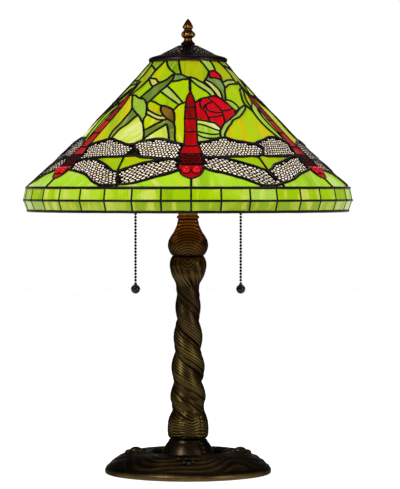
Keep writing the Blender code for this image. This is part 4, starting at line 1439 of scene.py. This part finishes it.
def vase_place(outline):
    """The vase's grooves, which hang in arches that spring from its front foot."""

    def place(u, v):
        angle = 2 * pi * u
        radius, z = along(outline, v)
        share = (z - VASE[0][1]) / (VASE[-1][1] - VASE[0][1])
        drop = ARCH_DROP * max(0.0, 1 - share) ** 1.3 * (1 + sin(angle)) ** 0.85
        ripple = abs(sin(pi * (z + drop - 268.0) / VASE_PITCH))
        fade = step_up(v, 0.0, 0.05) * (1 - step_up(v, 0.96, 1.0))
        return round_at(radius + VASE_RIDGE * (ripple - 0.6) * fade, angle, z), 0.22 + 0.5 * ripple * fade

    return place


def turned_place(outline, wear=0.5):
    """place() for a plain turned outline."""

    def place(u, v):
        radius, z = along(outline, v)
        return round_at(radius, 2 * pi * u, z), wear

    return place


# ---- base -------------------------------------------------------------------------------------------
BASE = [
    (5.6, 42.0), (21.6, 42.0), (23.2, 41.6), (23.9, 40.6), (24.9, 38.6), (27.2, 35.6), (29.8, 31.0),
    (31.7, 26.6), (33.6, 22.6), (35.8, 18.6), (38.5, 16.2), (41.2, 18.2), (44.2, 22.6), (47.6, 25.6),
    (53.0, 26.9), (60.0, 26.9), (67.9, 26.3), (74.9, 25.4), (79.3, 23.9), (85.5, 20.9), (92.0, 16.6),
    (97.0, 12.2), (100.4, 9.3), (101.2, 8.3), (101.5, 7.4), (102.3, 6.6), (102.8, 5.2), (102.9, 3.2),
    (102.6, 1.4), (101.8, 0.8), (98.5, 0.8), (97.3, 3.0), (96.5, 7.0),
]  # fmt: skip
WAVE = 1.15  # depth of the grain cut into the base
GRAIN_PITCH = 8.6
BUDS = 4


def base_outline_z(radius):
    for (a, za), (b, zb) in zip(BASE[8:], BASE[9:]):
        if a <= radius <= b:
            return za + (zb - za) * (radius - a) / (b - a)
    return BASE[-4][1]


def base_place(outline):
    """The foot, with its wood grain, its bare rim and riser, and the slot that the beads lie in."""

    def place(u, v):
        angle = 2 * pi * u
        radius, z = along(outline, v)
        field = step_up(radius, 44, 50) * (1 - step_up(radius, 97, 100.5)) if z > 8 else 0.0
        bend = 7.5 * sin(3 * angle + 0.05 * radius) + 4.0 * sin(7 * angle + 1.3)
        bend += 2.6 * sin(4 * angle - 0.09 * radius)
        knots = 2.4 * noise.noise(Vector((cos(angle) * 2.2, sin(angle) * 2.2, radius * 0.02)))
        phase = (radius + bend + knots) / GRAIN_PITCH
        ripple = 0.5 + 0.5 * sin(2 * pi * phase)
        fine = 0.5 + 0.5 * sin(2 * pi * phase * 2.6 + 2.0 * sin(angle * 2))
        cut = WAVE * (ripple**1.4 - 0.55) + 0.22 * (fine - 0.5)
        rim = 1.0 if radius > 101.6 and z < 7.6 else 0.0
        riser = 1 - step_up(radius, 34, 44)
        away = nearest_way(angle - LACE_ANGLE) * radius
        slot = max(0.0, 1 - abs(away + 1.4) / 1.5) * step_up(radius, 23.4, 25) * (1 - step_up(radius, 34, 36))
        wear = field * (0.12 + 0.62 * ripple * (0.6 + 0.4 * fine)) + 0.85 * rim + 0.28 * riser * (1 - rim)
        return round_at(radius - 0.25 * cut * field - 1.3 * slot, angle, z + cut * field), wear * (1 - slot)

    return place


def lump(form, angle, reach, aside, size, wear, above=-0.4, tilt=0.0, rings=9, sides=20):
    """A rounded lump on the crest of the base. size is its half width, half length and height."""
    out = Vector((cos(angle), sin(angle), 0.0))
    side = Vector((-out.y, out.x, 0.0))
    lie = Matrix.Rotation(tilt, 3, "Z") @ Matrix((side, out, UP)).transposed() @ Matrix.Diagonal(size)
    heart = out * reach + side * aside + UP * (base_outline_z(reach) + above)
    form.ball(heart, 1.0, lie, rings, sides, wear)


def bud(form, angle):
    """A bud between two smaller ones, with a leaf on each side."""
    for reach, size in ((64.5, (6.4, 8.6, 6.4)), (57.5, (4.6, 5.4, 4.2)), (73.0, (4.2, 5.4, 4.0))):
        lump(form, angle, reach, 0.0, size, 0.3, rings=10)
    for way in (-1, 1):
        lump(form, angle, 66.0, way * 11.0, (9.5, 4.6, 2.1), 0.4, -0.3, way * 0.55)


def front_bud(form, angle):
    """Three beads in front of three low leaves."""
    for aside, reach, size in ((-4.2, 86.0, 2.5), (1.4, 87.5, 2.9), (6.8, 85.0, 2.4)):
        lump(form, angle, reach, aside, (size,) * 3, 0.42, 1.2, rings=7, sides=12)
    for aside, wide, long in ((-8.0, 8.0, 4.6), (1.0, 8.5, 6.0), (9.5, 7.5, 4.4)):
        lump(form, angle, 74.0, aside, (wide, long, 2.8), 0.25)


def base(bronze):
    mesh = skin("base", base_place(smooth_outline(BASE, 5)), 240, 190, bronze, capped=False)
    add_piece("base", mesh, "stand", "cast_bronze")
    buds = Form()
    front_bud(buds, -pi / 2)
    for k in range(1, BUDS):
        bud(buds, -pi / 2 + k * 2 * pi / BUDS)
    for radius, z in ((25.6, 37.8), (28.9, 32.6), (31.6, 27.0)):
        buds.ball(round_at(radius + 0.6, LACE_ANGLE + 0.05, z), 2.1, wear=0.5)
    add_piece("base_buds", buds.mesh("base_buds", bronze), "stand", "cast_bronze")


# ---- cap and finial ---------------------------------------------------------------------------------
CAP_OUT = [
    (48.2, 507.9), (48.6, 509.8), (47.9, 511.8), (45.4, 513.4), (41.0, 514.7), (37.0, 515.8), (33.6, 516.9),
    (31.2, 517.8),
]  # fmt: skip
CAP_CONE = ((31.6, 516.9), (11.0, 527.2))
CAP_THICK = 2.2
SCROLLS = 12
RIBS = 4
RIB = 6.0  # half width of each of the cap's smooth ribs
LIP_IN = [(30.6, 517.0), (30.8, 515.6), (38.0, 512.6), (43.0, 511.0), (45.4, 509.4), (46.4, 507.7)]
HUB = [
    (12.6, 525.3), (12.9, 526.6), (12.2, 527.4), (10.4, 527.9), (9.2, 528.6), (8.4, 529.0), (3.6, 529.0),
    (3.6, 525.6), (9.0, 525.2), (12.6, 525.3),
]  # fmt: skip
# Openings of one scroll's width: (turn, radius, reach, half width, bend), alike in rows.
TRACERY = [
    (turn, radius, reach, size, bend * way)
    for radius, reach, size, bend, row in (
        (28.2, 1.7, 1.5, 1.0, (0.15, 0.38, 0.62, 0.85)),
        (24.2, 1.7, 1.35, 0.9, (0.03, 0.27, 0.5, 0.74)),
        (20.2, 1.6, 1.3, 0.8, (0.15, 0.48, 0.8)),
        (16.4, 1.4, 1.05, 0.5, (0.0, 0.33, 0.66)),
        (13.3, 0.8, 0.8, 0.0, (0.5,)),
    )
    for turn, way in zip(row, (1, -1, 1, -1))
]
CURLS = ((28.4, 2.7, 1), (24.4, 2.5, -1), (20.4, 2.2, 1), (16.6, 1.9, -1))  # (radius, size, way round)
FINIAL = [
    (8.7, 529.4), (8.9, 530.2), (8.2, 531.3), (6.7, 532.4), (5.4, 534.4), (5.0, 535.9), (5.6, 537.3),
    (7.2, 538.3), (8.5, 540.1), (8.7, 541.8), (7.9, 543.9), (6.0, 545.8), (4.9, 547.1), (5.2, 548.2),
    (6.2, 549.5), (6.5, 551.0), (5.8, 552.9), (4.9, 554.4), (3.9, 556.3), (2.6, 558.4), (1.1, 560.3),
    (0.35, 560.9),
]  # fmt: skip


def cap_point(angle, radius, proud):
    """A point on the cap's cone, with angle in turns of one scroll."""
    (low, low_z), (high, high_z) = CAP_CONE
    z = low_z + (high_z - low_z) * (radius - low) / (high - low)
    turn = angle * 2 * pi / SCROLLS
    slope = hypot(high - low, high_z - low_z)
    out, up = (high_z - low_z) / slope, (low - high) / slope
    return round_at(radius + proud * out, turn, z + proud * up)


def comma(middle, reach, size, bend, count=9):
    """A curved drop-shaped opening on the cap, as (scroll turns, radius) points. size is in millimetres."""
    loop = []
    for t in once_round(count):
        radius = middle[1] + cos(t) * reach
        across = sin(t) * size * (0.65 + 0.35 * cos(t)) + bend * sin(cos(t) * 1.4)
        loop.append(Vector((middle[0] + scroll_turns(across, radius), radius)))
    return loop


def rib_distance(turn, radius):
    """How far round a place on the cap is from its nearest rib, with turn in turns of one scroll."""
    spacing = SCROLLS / RIBS
    return abs((turn + spacing / 2) % spacing - spacing / 2) * 2 * pi / SCROLLS * radius


def scroll_turns(distance, radius):
    """A distance round the cap in turns of one scroll."""
    return distance * SCROLLS / (2 * pi * radius)


def tracery():
    """The cone's pierced sheet."""
    (bottom, _), (top, _) = CAP_CONE
    outline = [Vector((k / 8, bottom)) for k in range(SCROLLS * 8 + 1)]
    outline += [Vector((k / 4, top)) for k in range(SCROLLS * 4, -1, -1)]
    openings = [
        comma((k + turn, radius), reach, size, bend)
        for k in range(SCROLLS)
        for turn, radius, reach, size, bend in TRACERY
        if rib_distance(k + turn, radius) > RIB + size
    ]
    form = Form()
    lay_sheet(form, outline, openings, cap_point, (0.0, -CAP_THICK))
    return form


def curls():
    """Fine raised scrolls between the openings."""
    form = Form(13)
    for k in range(SCROLLS * 2):
        for radius, size, way in CURLS:
            middle = k / 2 + (0.26 if way > 0 else 0.02)
            if rib_distance(middle, radius) < RIB + size * 0.6:
                continue
            path = []
            for j in range(15):
                curl = size * (1 - 0.68 * j / 14)
                turn = way * (0.4 + 1.7 * pi * j / 14) + k
                reach = radius + curl * sin(turn)
                path.append((middle + scroll_turns(curl * cos(turn), reach), reach))
            cap_bead(form, path, 0.5, 0.9, 0.85)
    return form


def ribs():
    """Smooth ribs down the cone, each three beads wide."""
    form = Form(17)
    for k in range(RIBS):
        for side in (-1, 0, 1):
            reaches = [11.0 + j * 1.2 for j in range(18)]
            path = [(k * SCROLLS / RIBS + scroll_turns(side * RIB * 0.62, r), r) for r in reaches]
            cap_bead(form, path, 3.2, 0.36, 0.3)
    return form


def cap_bead(form, path, half_width, rise, wear):
    points = [cap_point(turn, radius, 0.0) for turn, radius in path]
    raised = [cap_point(turn, radius, 1.0) for turn, radius in path]
    normals = [(above - point).normalized() for above, point in zip(raised, points)]
    form.line(points, normals, half_width, rise, wear=wear)


def cap(bronze):
    add_piece("cap_tracery", tracery().mesh("cap_tracery", bronze, soft=False), "shade", "cast_bronze")
    for name, form in (("cap_scrolls", curls()), ("cap_ribs", ribs())):
        add_piece(name, form.mesh(name, bronze), "shade", "cast_bronze")
    lip = smooth_outline([*CAP_OUT, *LIP_IN, CAP_OUT[0]], 3)
    rim = skin("cap_rim", turned_place(lip, 0.42), 96, 60, bronze, capped=False)
    add_piece("cap_rim", rim, "shade", "cast_bronze")
    hub = skin("cap_hub", turned_place(smooth_outline(HUB, 3)), 48, 40, bronze, capped=False)
    add_piece("cap_hub", hub, "shade", "cast_bronze")


def finial(brass):
    outline = smooth_outline(FINIAL, 4)

    def place(u, v):
        angle = 2 * pi * u
        radius, z = along(outline, v)
        lobed = max(bump_at(z, 541.3, 9.0), 0.8 * bump_at(z, 551.0, 8.0), 0.5 * bump_at(z, 534.0, 5.0))
        petal = abs(cos(3.5 * (angle + (0.45 if z > 546.5 else 0.0))))
        radius *= 1 + 0.15 * lobed * (petal - 0.72)
        # darker towards the finial's foot
        foot_darkening = 0.45 * (1 - step_up(z, 531.0, 534.0))
        return round_at(radius, angle, z), 0.25 + 0.7 * petal * lobed + 0.2 * (1 - lobed) - foot_darkening

    add_piece("finial_casting", skin("finial_casting", place, 84, 110, brass), "finial", "antique_brass")


# ---- pull chains ------------------------------------------------------------------------------------
CHAIN_BEADS, BEAD_RADIUS, BEAD_PITCH = 24, 1.72, 3.9
FIRST_BEAD = 2.05  # from the top of the chain to the middle of its first bead
LINK_RADIUS = 0.45
COUPLING = [(0.2, 0.9), (1.5, 0.9), (2.2, 0.2), (2.7, -0.9), (0.2, -1.2)]  # (radius, height over the ball)


def pull(word, bronze, black, brass):
    """A bead chain, its ball and the coupling between them."""
    low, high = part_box(f"pull_chain_{word}")
    x, top = (low.x + high.x) / 2 / MM, high.z / MM

    def bead_at(k):
        return Vector((x, 0.0, top - FIRST_BEAD - k * BEAD_PITCH))

    beads = Form()
    for k in range(CHAIN_BEADS):
        beads.ball(bead_at(k), BEAD_RADIUS, rings=8, sides=14)
    link = Matrix.Diagonal((LINK_RADIUS, LINK_RADIUS, BEAD_PITCH / 2))
    for k in range(CHAIN_BEADS - 1):
        beads.ball(bead_at(k + 0.5), 1.0, link, 5, 8)
    body, mesh = f"chain_{word}", beads.mesh(f"bead_chain_{word}", bronze)
    chain = add_piece(f"bead_chain_{word}", mesh, body, "antique_brass")

    low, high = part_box(f"chain_ball_{word}")
    size = (high.x - low.x) / 2 / MM
    heart = Vector((x, 0.0, low.z / MM + size))
    balls = Form()
    balls.ball(heart, size, rings=24, sides=36)
    balls.ball(bead_at(CHAIN_BEADS), BEAD_RADIUS, rings=8, sides=14)
    knob = add_piece(f"pull_ball_{word}", balls.mesh(f"pull_ball_{word}", black), body, "cast_bronze")
    outline = [(radius, heart.z + size + above) for radius, above in COUPLING]
    mesh = skin(f"ball_coupling_{word}", turned_place(outline), 28, 16, brass)
    mesh.transform(Matrix.Translation((x * MM, 0.0, 0.0)))
    add_piece(f"ball_coupling_{word}", mesh, body, "antique_brass")
    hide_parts(f"pull_chain_{word}")
    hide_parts(f"chain_ball_{word}")


def build_metal():
    rope_tint = (
        (0.13, (1.0, 1.0, 0.9)),
        (0.2, (0.72, 0.66, 0.8)),
        (0.235, (0.5, 0.47, 0.62)),
        (0.268, (0.86, 0.72, 0.5)),
    )
    # painted light and shade: the vase is darker low down and bright and warm near its top, lit from above
    vase_painted_light = ((0.272, (0.36, 0.45, 0.6)), (0.284, (0.46, 0.46, 0.52)), (0.3, (1.0, 0.74, 0.5)))
    # painted light: darker on the collar ring, and golden above it as if lit by the bulbs
    neck_painted_lamplight = ((0.3175, (0.5, 0.42, 0.4)), (0.3195, (1.5, 1.3, 1.0)))
    bronze = patina("bronze_relief", srgb(16, 12, 6), srgb(38, 29, 14), srgb(106, 90, 48), tint=rope_tint)
    earth = patina("bronze_base", srgb(28, 22, 16), srgb(48, 38, 26), srgb(88, 70, 40))
    dark = patina("bronze_dark", srgb(14, 9, 9), srgb(44, 32, 31), srgb(122, 110, 106))
    # the vase's patina, with its painted light and shade
    amber = patina("bronze_amber_painted_light", srgb(20, 11, 5), srgb(60, 38, 17), srgb(156, 104, 42), tint=vase_painted_light)
    brass = patina("brass_antique", srgb(26, 13, 6), srgb(78, 47, 21), srgb(168, 116, 55), rough=(0.18, 0.32))
    chain = patina("chain_bronze", srgb(5, 4, 3), srgb(12, 9, 7), srgb(40, 32, 26), rough=(0.16, 0.26))
    base(earth)
    column(bronze)
    vase = skin("vase", vase_place(smooth_outline(VASE, 8)), 144, 120, amber)
    add_piece("vase", vase, "stand", "cast_bronze")
    # the neck's brass, with its painted lamplight
    collar = patina("brass_neck_painted_lamplight", srgb(26, 13, 6), srgb(90, 56, 26), srgb(168, 116, 55), tint=neck_painted_lamplight)
    neck = skin("neck", turned_place(smooth_outline(NECK, 4), 0.62), 64, 50, collar)
    add_piece("neck", neck, "stand", "antique_brass")
    cap(dark)
    finial(brass)
    for word in ("left", "right"):
        pull(word, chain, lacquer(), brass)
    for piece, node in (
        ("base", "base_casting"),
        ("column", "column_casting"),
        ("vase", "vase_casting"),
        ("neck", "neck_collar"),
        ("cap_tracery", "shade_cap"),
        ("finial_casting", "finial"),
    ):
        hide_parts(node)
    finish_nodes()


def finish_nodes():
    """Gives every CAD piece that stays in sight its own finish."""
    turned_brass = plain_metal("brass_turned", srgb(150, 110, 54), srgb(196, 154, 86), 0.3)
    threads = (200.0, 200.0, 1400.0)
    steel = plain_metal("steel_thread", srgb(150, 150, 148), srgb(186, 185, 182), 0.34, threads)
    for name, finish in {
        "arm_nipple": turned_brass, "socket_cap": turned_brass, "socket_shell": turned_brass,
        "chain_bell": turned_brass, "pull_link": turned_brass, "socket_core": phenolic(), "bulb_cap": steel,
        "bulb_glass": bulb_glass(),
    }.items():  # fmt: skip
        for word in ("left", "right"):
            dress(f"{name}_{word}", finish)
    for name in ("cluster_body", "seat_nut", "shade_spider", "base_lock_nut", "shade_top_ring"):
        dress(name, turned_brass)
    for name in ("base_washer", "base_weight", "riser_rod", "threaded_pipe"):
        dress(name, steel)
    dress("felt_pad", felt())
    dress("cord_bushing", phenolic())


def dress(node, material):
    mesh = frame["nodes"][node].data
    if mesh.materials:
        frame["nodes"][node].material_slots[0].material = material
    else:
        mesh.materials.append(material)


def lacquer():
    """Black lacquer, polished, with the faint ripple of a dipped coat."""
    material, make = new_material("black_lacquer")
    ripple = make.noise(make.place(), scale=160.0, detail=2.0)
    tone = make.ramp(ripple, (0.3, srgb(5, 4, 4)), (0.7, srgb(12, 10, 10)))
    gloss = make.grey_ramp(ripple, (0.3, 0.16), (0.7, 0.24))
    make.shader(Base_Color=tone, Roughness=gloss, Specular_IOR_Level=0.2, Normal=make.bump(ripple, 0.03))
    return material


def phenolic():
    """Dark moulded plastic."""
    material, make = new_material("phenolic")
    fleck = make.noise(make.place(), scale=300.0, detail=4.0)
    tone = make.ramp(fleck, (0.35, srgb(18, 16, 15)), (0.7, srgb(38, 33, 30)))
    gloss = make.grey_ramp(fleck, (0.3, 0.32), (0.7, 0.45))
    make.shader(Base_Color=tone, Roughness=gloss, Normal=make.bump(fleck, 0.05))
    return material


def felt():
    """Dark green felt."""
    material, make = new_material("felt")
    place = make.place()
    fibre = make.noise(place, scale=900.0, detail=5.0, rough=0.7)
    cloud = make.noise(place, scale=60.0, detail=3.0)
    tone = make.mix(0.5, make.ramp(fibre, (0.3, srgb(14, 30, 20)), (0.7, srgb(44, 66, 48))), cloud, "OVERLAY")
    make.shader(Base_Color=tone, Roughness=0.95, Sheen_Weight=0.5, Normal=make.bump(fibre, 0.4))
    return material


BULB_GLOW = 5.0


def bulb_glass():
    """A lit frosted bulb."""
    material, make = new_material("bulb_lit")
    frost = make.noise(make.place(), scale=500.0, detail=3.0)
    tone = make.ramp(frost, (0.3, (1.0, 0.80, 0.52)), (0.7, (1.0, 0.86, 0.62)))
    make.shader(Base_Color=tone, Roughness=0.35, Normal=make.bump(frost, 0.04))
    make.shader(Emission_Color=tone, Emission_Strength=BULB_GLOW)
    return material


place_camera()
set_stage()
build_shade()
build_metal()
for sector in SECTORS:
    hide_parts(f"glass_panel_{sector}")
    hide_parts(f"dragonfly_body_{sector}")
    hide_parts(f"wing_filigree_{sector}")
for came in ("field_came", "girth_came", "rim_came"):
    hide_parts(came)
for row in ("upper", "lower"):
    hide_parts(f"border_tiles_{row}")
